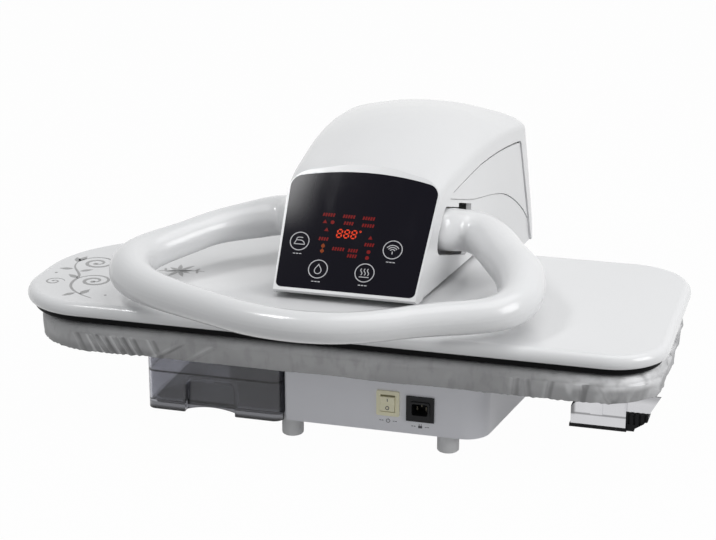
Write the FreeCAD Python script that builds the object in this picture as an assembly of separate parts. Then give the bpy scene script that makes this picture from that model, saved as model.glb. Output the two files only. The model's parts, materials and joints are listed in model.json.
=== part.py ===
import FreeCAD, Part
import math
import os

V = FreeCAD.Vector

# Frame: +Z up, +X to the right, -Y to the front. Sizes in mm. Pieces are drawn from a point on the
# table under the centre line of the head, midway between the front and the rear feet, and are moved
# at the end, so that the origin lies on the table under the middle of the whole press.

# Fits
RUN_FIT = 0.05
SLIP_GAP = 0.3
AIR_GAP = 2.5

# Feet and floor
FOOT_D = 22.0
FOOT_H = 24.0
FLOOR_T = 3.0
FLOOR_TOP = FOOT_H + FLOOR_T
FRONT_FEET = [(-53.0, -147.0), (108.0, -147.0)]
REAR_FEET = [(-140.0, 147.0), (140.0, 147.0)]
SCREW_D = 4.0
SCREW_HEAD_D = 8.0
SCREW_HEAD_H = 2.5

# Base housing
WALL = 3.0
BASE_FRONT = -170.0
BASE_REAR = 200.0
BASE_HALF = 183.0
BASE_FRONT_RIGHT = 147.0
BASE_BOTTOM = 23.0
BASE_TOP = 90.0
REAR_TOP = 55.0
REAR_STEP = 85.0
BAY_RIGHT = -55.0
BAY_REAR = 22.0
BASE_CORNER = 25.0

# Water tank
TANK_PROUD = 18.0
TANK_LEFT = -BASE_HALF - TANK_PROUD
TANK_RIGHT = BAY_RIGHT - AIR_GAP
TANK_MID = (TANK_LEFT + TANK_RIGHT) / 2
TANK_FRONT = BASE_FRONT - 1.0
TANK_REAR = BAY_REAR - 5.0
TANK_WALL = 2.5
TANK_CORNER = 10.0
TANK_BOTTOM = FLOOR_TOP + SLIP_GAP
TANK_SKIRT = 20.0
TANK_SEAM = 61.0
LID_TOP = 84.0
RECESS_SHIFT = -3.75
RECESS_HALF = 28.0
RECESS_LEFT = TANK_MID + RECESS_SHIFT - RECESS_HALF
RECESS_RIGHT = TANK_MID + RECESS_SHIFT + RECESS_HALF
RECESS_TOP = 54.0
RECESS_DEEP = 7.0
NOTCH_HIGH = 8.0
CAP_X, CAP_Y = TANK_MID + 7.25, TANK_FRONT + 43.0
CAP_R = 27.0
CAP_H = 5.0
FILL_R = 21.0
PORT_X, PORT_Z = TANK_MID + 2.25, 42.0
PORT_R = 4.0

# Switch and socket in the front wall
SWITCH_X0, SWITCH_X1 = 41.0, 64.0
SWITCH_Z0, SWITCH_Z1 = 40.0, 66.0
SOCKET_X0, SOCKET_X1 = 71.0, 99.0
SOCKET_Z0, SOCKET_Z1 = 37.0, 63.0
BEZEL_T = 2.0
ROCKER_DEEP = 3.0
ROCKER_PIN_R = 1.5

# Ironing bed
BED_LEFT, BED_RIGHT = -316.0, 315.0
BED_FRONT, BED_BACK = -214.0, 62.0
HEM_Z = 93.0
PAN_Z = 95.0
PAN_T = 1.5
BED_TOP = 120.7
COVER_T = 1.2
BED_EDGE_R = 9.0
HEM_TUCK = 14.0
POST_D = 16.0

# Heated plate
PLATE_LEFT, PLATE_RIGHT = -331.5, 323.0
PLATE_FRONT, PLATE_BACK = -218.0, 64.0
SOLE_Z = 121.2
SOLE_TOP = 128.0
PLATE_TOP = 142.0
PLATE_WALL = 3.0
PLATE_EDGE_R = 8.0
PLATE_UNDER_R = 5.0
SOLE_INSET = 6.5
STEAM_HOLE_D = 3.0

# Hinge of the head
HINGE_Y, HINGE_Z = 150.0, 112.0
SHAFT_R = 6.0
ARM_X = 44.0
ARM_T = 3.0
BRACKET_X = 54.0
BRACKET_T = 4.0
BUSH_T = 2.0
ARM_TOP = 208.0
TIE_Y0, TIE_Y1 = 80.0, 152.0

# Control panel: foot of its lower edge, lean from the vertical and outline
PANEL_Y, PANEL_Z = -144.0, 154.0
PANEL_LEAN = math.radians(40.6)
PANEL_LOW_HALF = 71.0
PANEL_TOP_HALF = 77.0
PANEL_SIDE = 120.0
PANEL_MID = 130.0
PANEL_T = 3.0
PANEL_R = 13.0
PANEL_LOW_R = 6.0
BEZEL_W = 3.2
BEZEL_DEEP = 6.0

# Shell of the head
HEAD_BOTTOM = 146.0
HEAD_REAR = 236.0
HEAD_REAR_BOTTOM = 128.0
HEAD_LOW = 108.0
PANEL_RIM = 1.5
HEAD_HALF = PANEL_TOP_HALF + PANEL_RIM
HEAD_FLARE = 0.085
FLARE_Y = -78.0
SHELL_T = 2.5
SHOULDER = 8.0
REAR_ROUND = 9.0
COVER_INSET = 5.0
HINGE_COVER_PROUD = 1.5
SIDE_SEAM = 2.2
SIDE_PAD_INSET = 1.2
HINGE_PAD_INSET = 2.0
PAD_ROOT = 1.0
SKIRT = 20.0
RIM = [(-165, 190), (-120, 216), (-78, 240), (-62, 246), (-40, 250), (-10, 253), (20, 255), (50, 257),
       (80, 257), (110, 256), (140, 254), (170, 251), (200, 247), (236, 241)]
CROWN = [(-165, 8), (-78, 10), (-58, 11), (-40, 12), (0, 15), (60, 19), (120, 21), (180, 20), (236, 18)]

# Handle
PIVOT_Y, PIVOT_Z = 112.0, 168.0
PIVOT_R = 5.0
LEVER_INSET = 12.5
LEVER_X = HEAD_HALF - LEVER_INSET
LEVER_T = 4.0
LEVER_HALF = 14.0
ROOT_Y, ROOT_Z = -26.0, 190.0
ROOT_TILT = -16.5
ROOT_HALF, ROOT_HIGH = 46.0, 22.0
ROOT_SQUARE = 3.2
NECK_SQUARE = 2.5
SLOT_END_GAP = 1.6
SLOT_TOP_GAP = 1.0
SLOT_LOW_GAP = 4.1
SLOT_R = 10.0
NOTCH_START = 9.0
NOTCH_HIGH = 4.5
# Centre line as (x, y, z, half width, half height, tilt, squareness) of the oval tube; 2 is a plain oval
HANDLE_LINE = [
    (LEVER_X + LEVER_T, ROOT_Y, ROOT_Z, ROOT_HALF, ROOT_HIGH, ROOT_TILT, ROOT_SQUARE),
    (77, ROOT_Y, ROOT_Z, ROOT_HALF, ROOT_HIGH, ROOT_TILT, ROOT_SQUARE),
    (83, ROOT_Y, ROOT_Z, ROOT_HALF - 1.5, ROOT_HIGH, ROOT_TILT, ROOT_SQUARE),
    (91, ROOT_Y, ROOT_Z, 36.0, 21.5, ROOT_TILT, NECK_SQUARE), (107, -29, 189.5, 25.5, 21.5, -8.0, 2),
    (135, -59, 185, 23.4, 22.0, 0, 2), (158, -97, 180.5, 23.7, 22.5, 0, 2),
    (175, -138, 176, 23.4, 22.5, 0, 2), (179, -171, 172.5, 20.8, 20.5, 0, 2),
    (173, -195, 170.5, 18.2, 18.2, 0, 2), (157, -212, 169, 16.4, 16.4, 0, 2),
    (130, -225, 168, 16.0, 16.0, 0, 2), (105, -238, 168, 15.6, 15.6, 0, 2), (84, -252, 168, 15.0, 15.0, 0, 2),
    (35, -279, 168, 14.8, 14.8, 0, 2), (-10, -285, 168, 15.0, 15.0, 0, 2), (-56, -277, 168, 15.4, 15.4, 0, 2),
    (-112, -253, 168, 15.9, 15.9, 0, 2), (-150, -236, 168.5, 16.8, 16.8, 0, 2),
    (-183, -216, 169.5, 18.6, 18.6, 0, 2), (-207, -187, 171.5, 20.8, 20.8, 0, 2),
    (-210, -150, 174.5, 19.8, 19.8, 0, 2), (-188, -113, 180, 17.6, 17.6, 0, 2),
    (-166, -82, 184.5, 17.3, 17.3, 0, 2), (-142, -58, 187.5, 18.5, 18.5, 0, 2),
    (-112, -32, 189.5, 25.0, 20.5, -8.0, 2), (-91, ROOT_Y, ROOT_Z, 36.0, 21.5, ROOT_TILT, NECK_SQUARE),
    (-83, ROOT_Y, ROOT_Z, ROOT_HALF - 1.5, ROOT_HIGH, ROOT_TILT, ROOT_SQUARE),
    (-77, ROOT_Y, ROOT_Z, ROOT_HALF, ROOT_HIGH, ROOT_TILT, ROOT_SQUARE),
    (-LEVER_X - LEVER_T, ROOT_Y, ROOT_Z, ROOT_HALF, ROOT_HIGH, ROOT_TILT, ROOT_SQUARE)]
RING_POINTS = 24

# Middle of the whole press
ORIGIN_X = (PLATE_LEFT + PLATE_RIGHT) / 2
ORIGIN_Y = (min(p[1] - p[3] for p in HANDLE_LINE) + HEAD_REAR) / 2

# Iron rest under the right end of the bed
REST_X0, REST_X1 = 231.0, 284.0
REST_Y0, REST_Y1 = -160.0, -30.0
REST_Z = 48.5
REST_TOP = 82.0
REST_T = 1.5
REST_LIP = 18.0
REST_CHAMFER = 16.0
WING_LOW = 64.0
WING_X0, WING_X1 = 306.0, 316.0
WING_BACK = 5.0
GRIP_DEEP = 18.0
GRIP_RIBS = 4
GRIP_RISE = 9.0
MAT_T = 3.0
EMBOSS = 1.5

# Rails of the iron rest
RAIL_X0, RAIL_X1 = 190.0, 290.0
RAIL_HALF = 8.0
RAIL_T = 1.5
RAIL_BOTTOM = 85.0
RAIL_SLOT = 6.0
RAIL_INSET = 14.0
RUNNER_X0 = 196.0
RUNNER_T = 2.0
SHOE_T = 3.5

# Water system and mains entry
GLAND_X, GLAND_Z, GLAND_R = -90.0, 40.0, 7.0
GLAND_BORE_R = 4.0
PUMP_X, PUMP_Y, PUMP_Z = -20.0, 62.0, 50.0
PUMP_R = 17.0
PUMP_HALF = 24.0
PUMP_END_R = 9.0
PUMP_END = 10.0
NOZZLE_R = 2.5
NOZZLE = 12.0
HOSE_X, HOSE_Y, HOSE_R = 26.0, 108.0, 4.0
HOSE_ROOM = 2.5
HOSE_BEND, STEAM_BEND = 9.0, 16.0
STEAM_HOSE_Z = 174.0
FEED_LOW_Z = 40.0
JOINER_Y, JOINER_Z = 98.0, 149.0

# Mains board
BOARD_X0, BOARD_X1 = 10.0, 120.0
BOARD_Y0, BOARD_Y1 = -70.0, 10.0
BOARD_T = 1.6
STANDOFF_H = 8.0
STANDOFF_R = 3.0

# Springs on the hinge shaft
SPRING_X0, SPRING_X1 = 12.0, 40.0
SPRING_R = 10.5
SPRING_WIRE = 1.5
SPRING_TURNS = 6.5
SPRING_PLAY = 0.02

# Heated parts and the posts of the plate
CHAMBER = (-24.0, 24.0, -32.0, 28.0)
CHAMBER_TOP = 134.0
INLET_R = 3.0
INLET_H = 17.0
ELEMENT_R = 3.0
POST_R = 6.0
POST_X = 34.0
POST_Y0, POST_Y1 = -48.0, 44.0
WEB_Z = 149.0


def xy(z):
    """Map of a flat outline onto the level plane at height z."""
    return lambda a, b: V(a, b, z)


def yz(x):
    """Map of a flat outline onto the upright plane at x."""
    return lambda a, b: V(x, a, b)


def xz(y):
    """Map of a flat outline onto the upright plane at y."""
    return lambda a, b: V(a, y, b)


def rounded_wire(corners, place):
    """Closed wire through corners (a, b, radius)."""
    count = len(corners)
    starts, mids, ends = [], [], []
    for i in range(count):
        here = V(corners[i][0], corners[i][1], 0)
        before = V(corners[i - 1][0], corners[i - 1][1], 0) - here
        after = V(corners[(i + 1) % count][0], corners[(i + 1) % count][1], 0) - here
        before.normalize()
        after.normalize()
        radius = corners[i][2]
        half = before.getAngle(after) / 2
        reach = radius / math.tan(half)
        bisect = before + after
        bisect.normalize()
        starts.append(here + before * reach)
        ends.append(here + after * reach)
        mids.append(here + bisect * (radius / math.sin(half) - radius))
    edges = []
    for i in range(count):
        if corners[i][2] > 0:
            edges.append(Part.Arc(place(starts[i].x, starts[i].y), place(mids[i].x, mids[i].y),
                                  place(ends[i].x, ends[i].y)).toShape())
        nxt = starts[(i + 1) % count]
        if (ends[i] - nxt).Length > 1e-6:
            edges.append(Part.makeLine(place(ends[i].x, ends[i].y), place(nxt.x, nxt.y)))
    return Part.Wire(edges)


def level(corners, z0, z1, grow=0.0):
    """Upright prism over a rounded outline, grown outwards by grow."""
    wire = rounded_wire(corners, xy(z0))
    if grow:
        wire = wire.makeOffset2D(grow)
    return Part.Face(wire).extrude(V(0, 0, z1 - z0))


def across(corners, x0, x1):
    """Prism along X over an outline in Y and Z."""
    return Part.Face(rounded_wire(corners, yz(x0))).extrude(V(x1 - x0, 0, 0))


def along(corners, y0, y1):
    """Prism along Y over an outline in X and Z."""
    return Part.Face(rounded_wire(corners, xz(y0))).extrude(V(0, y1 - y0, 0))


def block(x0, x1, y0, y1, z0, z1):
    """Box between two corners."""
    return Part.makeBox(x1 - x0, y1 - y0, z1 - z0, V(x0, y0, z0))


def rod(x, y, z, radius, length, axis):
    """Round bar from a point along an axis."""
    return Part.makeCylinder(radius, length, V(x, y, z), axis)


def rod_x(x0, x1, y, z, radius):
    """Round bar along X."""
    return rod(x0, y, z, radius, x1 - x0, V(1, 0, 0))


def ring_x(x0, x1, y, z, outer, inner):
    """Tube along X."""
    return rod_x(x0, x1, y, z, outer).cut(rod_x(x0 - 1, x1 + 1, y, z, inner))


def soften(shape, radius, pick):
    """Fillet of the edges that pick accepts."""
    return shape.makeFillet(radius, [e for e in shape.Edges if pick(e.BoundBox)])


def at_height(z):
    """Test for edges that lie at height z."""
    return lambda box: abs(box.ZMin - z) < 0.01 and abs(box.ZMax - z) < 0.01


def upright(box):
    """Test for upright straight edges."""
    return box.ZLength > 1 and box.XLength < 0.01 and box.YLength < 0.01


def pipe(points, radius):
    """Round tube along a smooth line through points."""
    curve = Part.BSplineCurve()
    curve.interpolate([V(*p) for p in points])
    path = Part.Wire(curve.toShape())
    start = curve.tangent(curve.FirstParameter)[0]
    ring = Part.Wire(Part.makeCircle(radius, V(*points[0]), start))
    return path.makePipeShell([ring], True, True)


def bent_pipe(points, radius, bend):
    """Round tube of straight lengths through points, with a round bend at each point between."""
    corners = [V(*p) for p in points]
    edges = []
    start = corners[0]
    for before, corner, after in zip(corners, corners[1:], corners[2:]):
        back, on = (before - corner).normalize(), (after - corner).normalize()
        half = back.getAngle(on) / 2
        first, last = corner + back * (bend / math.tan(half)), corner + on * (bend / math.tan(half))
        inside = (back + on).normalize()
        middle = corner + inside * (bend / math.sin(half) - bend)
        edges += [Part.makeLine(start, first), Part.Arc(first, middle, last).toShape()]
        start = last
    edges.append(Part.makeLine(start, corners[-1]))
    ring = Part.Wire(Part.makeCircle(radius, corners[0], corners[1] - corners[0]))
    return Part.Wire(edges).makePipeShell([ring], True, True)


def screw(x, y, z, axis, length):
    """Pan head screw with its head face at a point, the shank against the axis."""
    head = rod(x, y, z, SCREW_HEAD_D / 2, SCREW_HEAD_H, axis)
    return head.fuse(rod(x, y, z, SCREW_D / 2, length, axis * -1))


def interp(table, y):
    """Value of a table of (y, value) at y."""
    for (y0, v0), (y1, v1) in zip(table, table[1:]):
        if y <= y1:
            return v0 + (v1 - v0) * (y - y0) / (y1 - y0)
    return table[-1][1]


def smooth(table, y):
    """Smooth value of a table of (y, value) at y."""
    curve = Part.BSplineCurve()
    curve.interpolate([V(a, b, 0) for a, b in table])
    line = Part.makeLine(V(y, -1000, 0), V(y, 1000, 0))
    hit = curve.intersectCC(line.Curve)
    return hit[0].Y if hit else interp(table, y)


def base_outline():
    """Plan of the housing, notched at the front left for the tank."""
    return [(BAY_RIGHT, BASE_FRONT, 5), (BASE_FRONT_RIGHT, BASE_FRONT, BASE_CORNER),
            (BASE_HALF, REAR_STEP - 10, 60), (BASE_HALF, BASE_REAR, BASE_CORNER),
            (-BASE_HALF, BASE_REAR, BASE_CORNER), (-BASE_HALF, BAY_REAR, 10), (BAY_RIGHT, BAY_REAR, 2)]


def shelf_outline():
    """Plan of the shelf that carries the tank."""
    return [(TANK_LEFT + 5, TANK_FRONT + 11, 8), (BAY_RIGHT + 8, TANK_FRONT + 11, 8),
            (BAY_RIGHT + 8, BAY_REAR + 8, 8), (TANK_LEFT + 5, BAY_REAR + 8, 8)]


def floor_solid(grow):
    """Floor plate with the tank shelf, grown by a clearance."""
    inner = level(base_outline(), FOOT_H - grow, FLOOR_TOP, -WALL - SLIP_GAP + grow)
    return inner.fuse(level(shelf_outline(), FOOT_H - grow, FLOOR_TOP, grow)).removeSplitter()


def foot_places():
    """Plan places of the four feet."""
    return FRONT_FEET + REAR_FEET


def base_floor():
    """Floor plate drilled for the foot screws."""
    plate = floor_solid(0.0)
    for x, y in foot_places():
        plate = plate.cut(rod(x, y, FOOT_H - 1, SCREW_D / 2, FLOOR_T + 2, V(0, 0, 1)))
    return plate


def rubber_feet():
    """Four round feet with a hollow for the screw head."""
    feet = []
    for x, y in foot_places():
        foot = rod(x, y, 0, FOOT_D / 2, FOOT_H, V(0, 0, 1))
        foot = soften(foot, 2.0, at_height(0))
        foot = foot.cut(rod(x, y, -1, SCREW_HEAD_D / 2 + 1, 9, V(0, 0, 1)))
        feet.append(foot.cut(rod(x, y, 0, SCREW_D / 2, FOOT_H + 1, V(0, 0, 1))))
    return feet


def floor_screws():
    """Screws that hold the feet to the floor."""
    return [screw(x, y, 8.0, V(0, 0, -1), FLOOR_TOP - 8.0) for x, y in foot_places()]


def base_body(inset):
    """Solid of the housing with its low rear, shrunk by inset."""
    front = level(base_outline(), BASE_BOTTOM, BASE_TOP - inset, -inset)
    low = block(-300, 300, REAR_STEP - inset, 300, REAR_TOP - inset, 200)
    return front.cut(low)


def base_housing():
    """Moulded housing, open below, with its cut-outs."""
    shell = base_body(0.0)
    shell = soften(shell, 3.0, lambda b: at_height(BASE_TOP)(b) or at_height(REAR_TOP)(b))
    shell = shell.cut(base_body(WALL)).cut(floor_solid(SLIP_GAP))
    shell = shell.cut(level(shelf_outline(), BASE_BOTTOM - 1, FLOOR_TOP, SLIP_GAP))
    front = BASE_FRONT - 1
    deep = front + WALL + 2
    shell = shell.cut(block(SWITCH_X0 + 2, SWITCH_X1 - 2, front, deep, SWITCH_Z0 + 2, SWITCH_Z1 - 2))
    shell = shell.cut(block(SOCKET_X0 + 2, SOCKET_X1 - 2, front, deep, SOCKET_Z0 + 2, SOCKET_Z1 - 2))
    shell = shell.cut(rod(PORT_X, BAY_REAR - 1, PORT_Z, PORT_R, WALL + 2, V(0, 1, 0)))
    shell = shell.cut(rod(GLAND_X, BASE_REAR + 1, GLAND_Z, GLAND_R, WALL + 2, V(0, -1, 0)))
    shell = shell.cut(rod(HOSE_X, HOSE_Y, REAR_TOP - WALL - 1, HOSE_R + HOSE_ROOM, WALL + 2, V(0, 0, 1)))
    for x, y in bracket_holes():
        shell = shell.cut(rod(x, y, REAR_TOP - WALL - 1, SCREW_D / 2, WALL + 2, V(0, 0, 1)))
    return shell


def mains_gland():
    """Cord gland in the rear wall with its bore."""
    tube = rod(GLAND_X, BASE_REAR - WALL - 8, GLAND_Z, GLAND_R, WALL + 22, V(0, 1, 0))
    flange = rod(GLAND_X, BASE_REAR, GLAND_Z, GLAND_R + 4, 3, V(0, 1, 0))
    nut = rod(GLAND_X, BASE_REAR - WALL - 4, GLAND_Z, GLAND_R + 4, 4, V(0, 1, 0))
    body = tube.fuse(flange).fuse(nut)
    return body.cut(rod(GLAND_X, BASE_REAR - 40, GLAND_Z, GLAND_BORE_R, 80, V(0, 1, 0)))


def switch_body():
    """Frame and case of the mains switch, hollow for the rocker."""
    frame = block(SWITCH_X0, SWITCH_X1, BASE_FRONT - BEZEL_T, BASE_FRONT, SWITCH_Z0, SWITCH_Z1)
    frame = soften(frame, 1.5, lambda b: b.YLength > 1 and b.XLength < 0.01 and b.ZLength < 0.01)
    case = block(SWITCH_X0 + 2, SWITCH_X1 - 2, BASE_FRONT, BASE_FRONT + 22, SWITCH_Z0 + 2, SWITCH_Z1 - 2)
    well = block(SWITCH_X0 + 4, SWITCH_X1 - 4, BASE_FRONT - 5, BASE_FRONT + 10, SWITCH_Z0 + 4, SWITCH_Z1 - 4)
    mid = (SWITCH_Z0 + SWITCH_Z1) / 2
    pin = rod_x(SWITCH_X0 + 3 - SLIP_GAP, SWITCH_X1 - 3 + SLIP_GAP, BASE_FRONT + ROCKER_DEEP, mid,
                ROCKER_PIN_R + RUN_FIT)
    return frame.fuse(case).cut(well).cut(pin)


def power_rocker():
    """Rocker key, tilted faces meeting at its middle."""
    mid = (SWITCH_Z0 + SWITCH_Z1) / 2
    half = (SWITCH_Z1 - SWITCH_Z0) / 2 - 4 - 1.2
    front = BASE_FRONT - BEZEL_T
    side = [(front - 2.4, mid - half, 0.8), (front - 0.6, mid, 0), (front - 2.4, mid + half, 0.8),
            (BASE_FRONT + 3, mid + half - 1, 1), (BASE_FRONT + 6, mid, 0),
            (BASE_FRONT + 3, mid - half + 1, 1)]
    key = across(side, SWITCH_X0 + 4 + SLIP_GAP, SWITCH_X1 - 4 - SLIP_GAP)
    return key.fuse(rod_x(SWITCH_X0 + 3, SWITCH_X1 - 3, BASE_FRONT + ROCKER_DEEP, mid, ROCKER_PIN_R))


def iron_socket():
    """Outlet with a raised collar and a recess for the plug of the iron."""
    frame = block(SOCKET_X0, SOCKET_X1, BASE_FRONT - BEZEL_T, BASE_FRONT, SOCKET_Z0, SOCKET_Z1)
    case = block(SOCKET_X0 + 2, SOCKET_X1 - 2, BASE_FRONT, BASE_FRONT + 24, SOCKET_Z0 + 2, SOCKET_Z1 - 2)
    mx = (SOCKET_X0 + SOCKET_X1) / 2
    mz = (SOCKET_Z0 + SOCKET_Z1) / 2
    collar = along([(mx - 10, mz - 8, 3), (mx + 10, mz - 8, 3), (mx + 10, mz + 8, 3), (mx - 10, mz + 8, 3)],
                   BASE_FRONT - BEZEL_T - 1.5, BASE_FRONT)
    recess = along([(mx - 8, mz - 6, 2), (mx + 8, mz - 6, 2), (mx + 8, mz + 6, 2), (mx - 8, mz + 6, 2)],
                   BASE_FRONT - 10, BASE_FRONT + 16)
    body = frame.fuse(case).fuse(collar).cut(recess)
    return body


def socket_contacts():
    """Three flat contacts on the back of the socket recess."""
    mx = (SOCKET_X0 + SOCKET_X1) / 2
    mz = (SOCKET_Z0 + SOCKET_Z1) / 2
    places = [(mx - 4.5, mz - 2), (mx, mz + 2), (mx + 4.5, mz - 2)]
    return [block(x - 0.6, x + 0.6, BASE_FRONT + 6, BASE_FRONT + 16, z - 2, z + 2) for x, z in places]


def tank_block(inset, z0, z1):
    """Rounded block of the tank, shrunk by inset."""
    r = TANK_CORNER
    plan = [(TANK_LEFT, TANK_FRONT, r), (TANK_RIGHT, TANK_FRONT, r),
            (TANK_RIGHT, TANK_REAR, r), (TANK_LEFT, TANK_REAR, r)]
    return level(plan, z0, z1, -inset)


def tank_recess(grow):
    """Finger recess in the front of the tank, grown by the wall."""
    plan = [(RECESS_LEFT - grow, TANK_SKIRT - 30, 0), (RECESS_RIGHT + grow, TANK_SKIRT - 30, 0),
            (RECESS_RIGHT - 3 + grow, RECESS_TOP + grow, 5), (RECESS_LEFT + 3 - grow, RECESS_TOP + grow, 5)]
    return along(plan, TANK_FRONT - 5, TANK_FRONT + RECESS_DEEP + grow)


def water_tank():
    """Smoked tank, open at the top under its lid."""
    body = tank_block(0.0, TANK_BOTTOM, TANK_SEAM)
    front = tank_block(0.0, TANK_SKIRT, TANK_BOTTOM)
    front = front.cut(block(-300, 0, TANK_FRONT + RECESS_DEEP + TANK_WALL, 100, 0, 100))
    body = body.fuse(front).removeSplitter().cut(tank_recess(0.0))
    hollow = tank_block(TANK_WALL, TANK_BOTTOM + TANK_WALL, TANK_SEAM + 1).cut(tank_recess(TANK_WALL))
    body = body.cut(hollow)
    half = (RECESS_RIGHT - RECESS_LEFT) / 2
    radius = (half ** 2 + NOTCH_HIGH ** 2) / (2 * NOTCH_HIGH)
    notch = rod((RECESS_LEFT + RECESS_RIGHT) / 2, TANK_FRONT - 5, TANK_SKIRT + NOTCH_HIGH - radius, radius,
                5 + RECESS_DEEP + TANK_WALL + 0.5, V(0, 1, 0))
    notch = notch.common(block(-300, 0, -300, 100, 0, TANK_BOTTOM))
    body = body.cut(notch)
    return body.cut(rod(PORT_X, TANK_REAR - 10, PORT_Z, PORT_R + 4, 20, V(0, 1, 0)))


def tank_lid():
    """Deep lid of the tank with the filler collar."""
    lid = tank_block(0.0, TANK_SEAM, LID_TOP)
    lid = soften(lid, 5.0, at_height(LID_TOP))
    lid = lid.cut(tank_block(TANK_WALL, TANK_SEAM - 1, LID_TOP - TANK_WALL))
    collar = rod(CAP_X, CAP_Y, LID_TOP - 12, FILL_R + 2, 12, V(0, 0, 1))
    return lid.fuse(collar).cut(rod(CAP_X, CAP_Y, LID_TOP - 20, FILL_R, 40, V(0, 0, 1)))


def filler_cap():
    """Turn cap of the filler with a finger bar."""
    cap = rod(CAP_X, CAP_Y, LID_TOP + SLIP_GAP, CAP_R, CAP_H - 2.5, V(0, 0, 1))
    plug = rod(CAP_X, CAP_Y, LID_TOP - 8, FILL_R - SLIP_GAP, 8 + SLIP_GAP, V(0, 0, 1))
    bar = block(CAP_X - CAP_R + 4, CAP_X + CAP_R - 4, CAP_Y - 3, CAP_Y + 3, LID_TOP + 1, LID_TOP + CAP_H)
    return cap.fuse(plug).fuse(bar)


def outlet_seal():
    """Rubber seal in the rear wall of the tank around the water port."""
    ring = rod(PORT_X, TANK_REAR - TANK_WALL - 6, PORT_Z, PORT_R + 4, TANK_WALL + 8, V(0, 1, 0))
    lip = rod(PORT_X, TANK_REAR - TANK_WALL - 6, PORT_Z, PORT_R + 6, 6, V(0, 1, 0))
    return ring.fuse(lip).cut(rod(PORT_X, TANK_REAR - 20, PORT_Z, PORT_R + RUN_FIT, 60, V(0, 1, 0)))


def tank_port():
    """Water spigot in the wall of the bay with its flange."""
    spigot = rod(PORT_X, TANK_REAR - 6, PORT_Z, PORT_R, 40, V(0, 1, 0))
    flange = rod(PORT_X, BAY_REAR + WALL, PORT_Z, PORT_R + 5, 3, V(0, 1, 0))
    bore = rod(PORT_X, TANK_REAR - 30, PORT_Z, PORT_R - 1.2, 90, V(0, 1, 0))
    return spigot.fuse(flange).cut(bore)


def water_pump():
    """Solenoid pump with its two nozzles, lying along X."""
    body = rod_x(PUMP_X - PUMP_HALF, PUMP_X + PUMP_HALF, PUMP_Y, PUMP_Z, PUMP_R)
    end = PUMP_HALF + PUMP_END
    ends = rod_x(PUMP_X - end, PUMP_X + end, PUMP_Y, PUMP_Z, PUMP_END_R)
    nozzles = rod_x(PUMP_X - end - NOZZLE, PUMP_X + end + NOZZLE, PUMP_Y, PUMP_Z, NOZZLE_R)
    return body.fuse(ends).fuse(nozzles)


def pump_bracket():
    """Saddle that carries the pump on the floor."""
    long, wide = PUMP_HALF - 9, PUMP_R + 3
    saddle = block(PUMP_X - long, PUMP_X + long, PUMP_Y - wide, PUMP_Y + wide, FLOOR_TOP, PUMP_Z - 4)
    return saddle.cut(rod_x(PUMP_X - 100, PUMP_X + 100, PUMP_Y, PUMP_Z, PUMP_R))


def suction_hose():
    """Hose from the tank port to the pump."""
    start = TANK_REAR + 34
    end = PUMP_X - PUMP_HALF - PUMP_END
    outer = pipe([(PORT_X, start - 8, PORT_Z), (PORT_X, start + 4, PORT_Z),
                  (PORT_X + 16, PUMP_Y - 2, (PORT_Z + PUMP_Z) / 2 + 1), (end - 28, PUMP_Y, PUMP_Z),
                  (end - 2, PUMP_Y, PUMP_Z)], PORT_R + 1.5)
    outer = outer.cut(rod(PORT_X, start - 20, PORT_Z, PORT_R, 20, V(0, 1, 0)))
    return outer.cut(rod_x(end - NOZZLE, PUMP_X, PUMP_Y, PUMP_Z, NOZZLE_R))


def feed_hose():
    """Hose from the pump up to the joiner on the head."""
    end = PUMP_X + PUMP_HALF + PUMP_END
    outer = bent_pipe([(end + 2, PUMP_Y, PUMP_Z), (HOSE_X + 10, PUMP_Y, PUMP_Z),
                       (HOSE_X + 7, PUMP_Y + 15, FEED_LOW_Z), (HOSE_X, HOSE_Y, FEED_LOW_Z),
                       (HOSE_X, HOSE_Y, JOINER_Z - 49), (HOSE_X, JOINER_Y, JOINER_Z - 19),
                       (HOSE_X, JOINER_Y, JOINER_Z)], HOSE_R, HOSE_BEND)
    return outer.cut(rod_x(PUMP_X, end + NOZZLE, PUMP_Y, PUMP_Z, NOZZLE_R))


def power_board():
    """Mains circuit board."""
    bottom = FLOOR_TOP + STANDOFF_H
    return block(BOARD_X0, BOARD_X1, BOARD_Y0, BOARD_Y1, bottom, bottom + BOARD_T)


def board_standoffs():
    """Posts under the board."""
    inset = STANDOFF_R + 2
    return [rod(x, y, FLOOR_TOP, STANDOFF_R, STANDOFF_H, V(0, 0, 1))
            for x in (BOARD_X0 + inset, BOARD_X1 - inset) for y in (BOARD_Y0 + inset, BOARD_Y1 - inset)]


def board_parts():
    """Transformer, relays, terminal block and capacitors on the board."""
    top = FLOOR_TOP + STANDOFF_H + BOARD_T
    x, y = BOARD_X0, BOARD_Y0
    parts = [block(x + 10, x + 50, y + 10, y + 45, top, top + 28),
             block(x + 60, x + 80, y + 10, y + 25, top, top + 16),
             block(x + 84, x + 104, y + 10, y + 25, top, top + 16),
             block(x + 10, x + 40, y + 55, y + 70, top, top + 12)]
    parts += [rod(x + 62 + i * 16, y + 50, top, 6, 22, V(0, 0, 1)) for i in range(3)]
    return parts


def bed_outline():
    """Plan of the ironing bed."""
    return [(BED_LEFT, BED_FRONT, 70), (BED_RIGHT, BED_FRONT, 50), (BED_RIGHT, BED_BACK, 60),
            (BED_LEFT + 115, BED_BACK, 80), (BED_LEFT, BED_BACK - 122, 110)]


def cushion(inset, z0, z1, radius):
    """Padded slab over the plan of the bed with a rounded top edge."""
    return soften(level(bed_outline(), z0, z1, -inset), radius, at_height(z1))


def bed_post_places():
    """Plan places of the posts under the bed."""
    back = BED_BACK - HEM_TUCK - POST_D
    return [(-120, back), (130, back), (-30, -150), (110, -150)]


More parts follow.
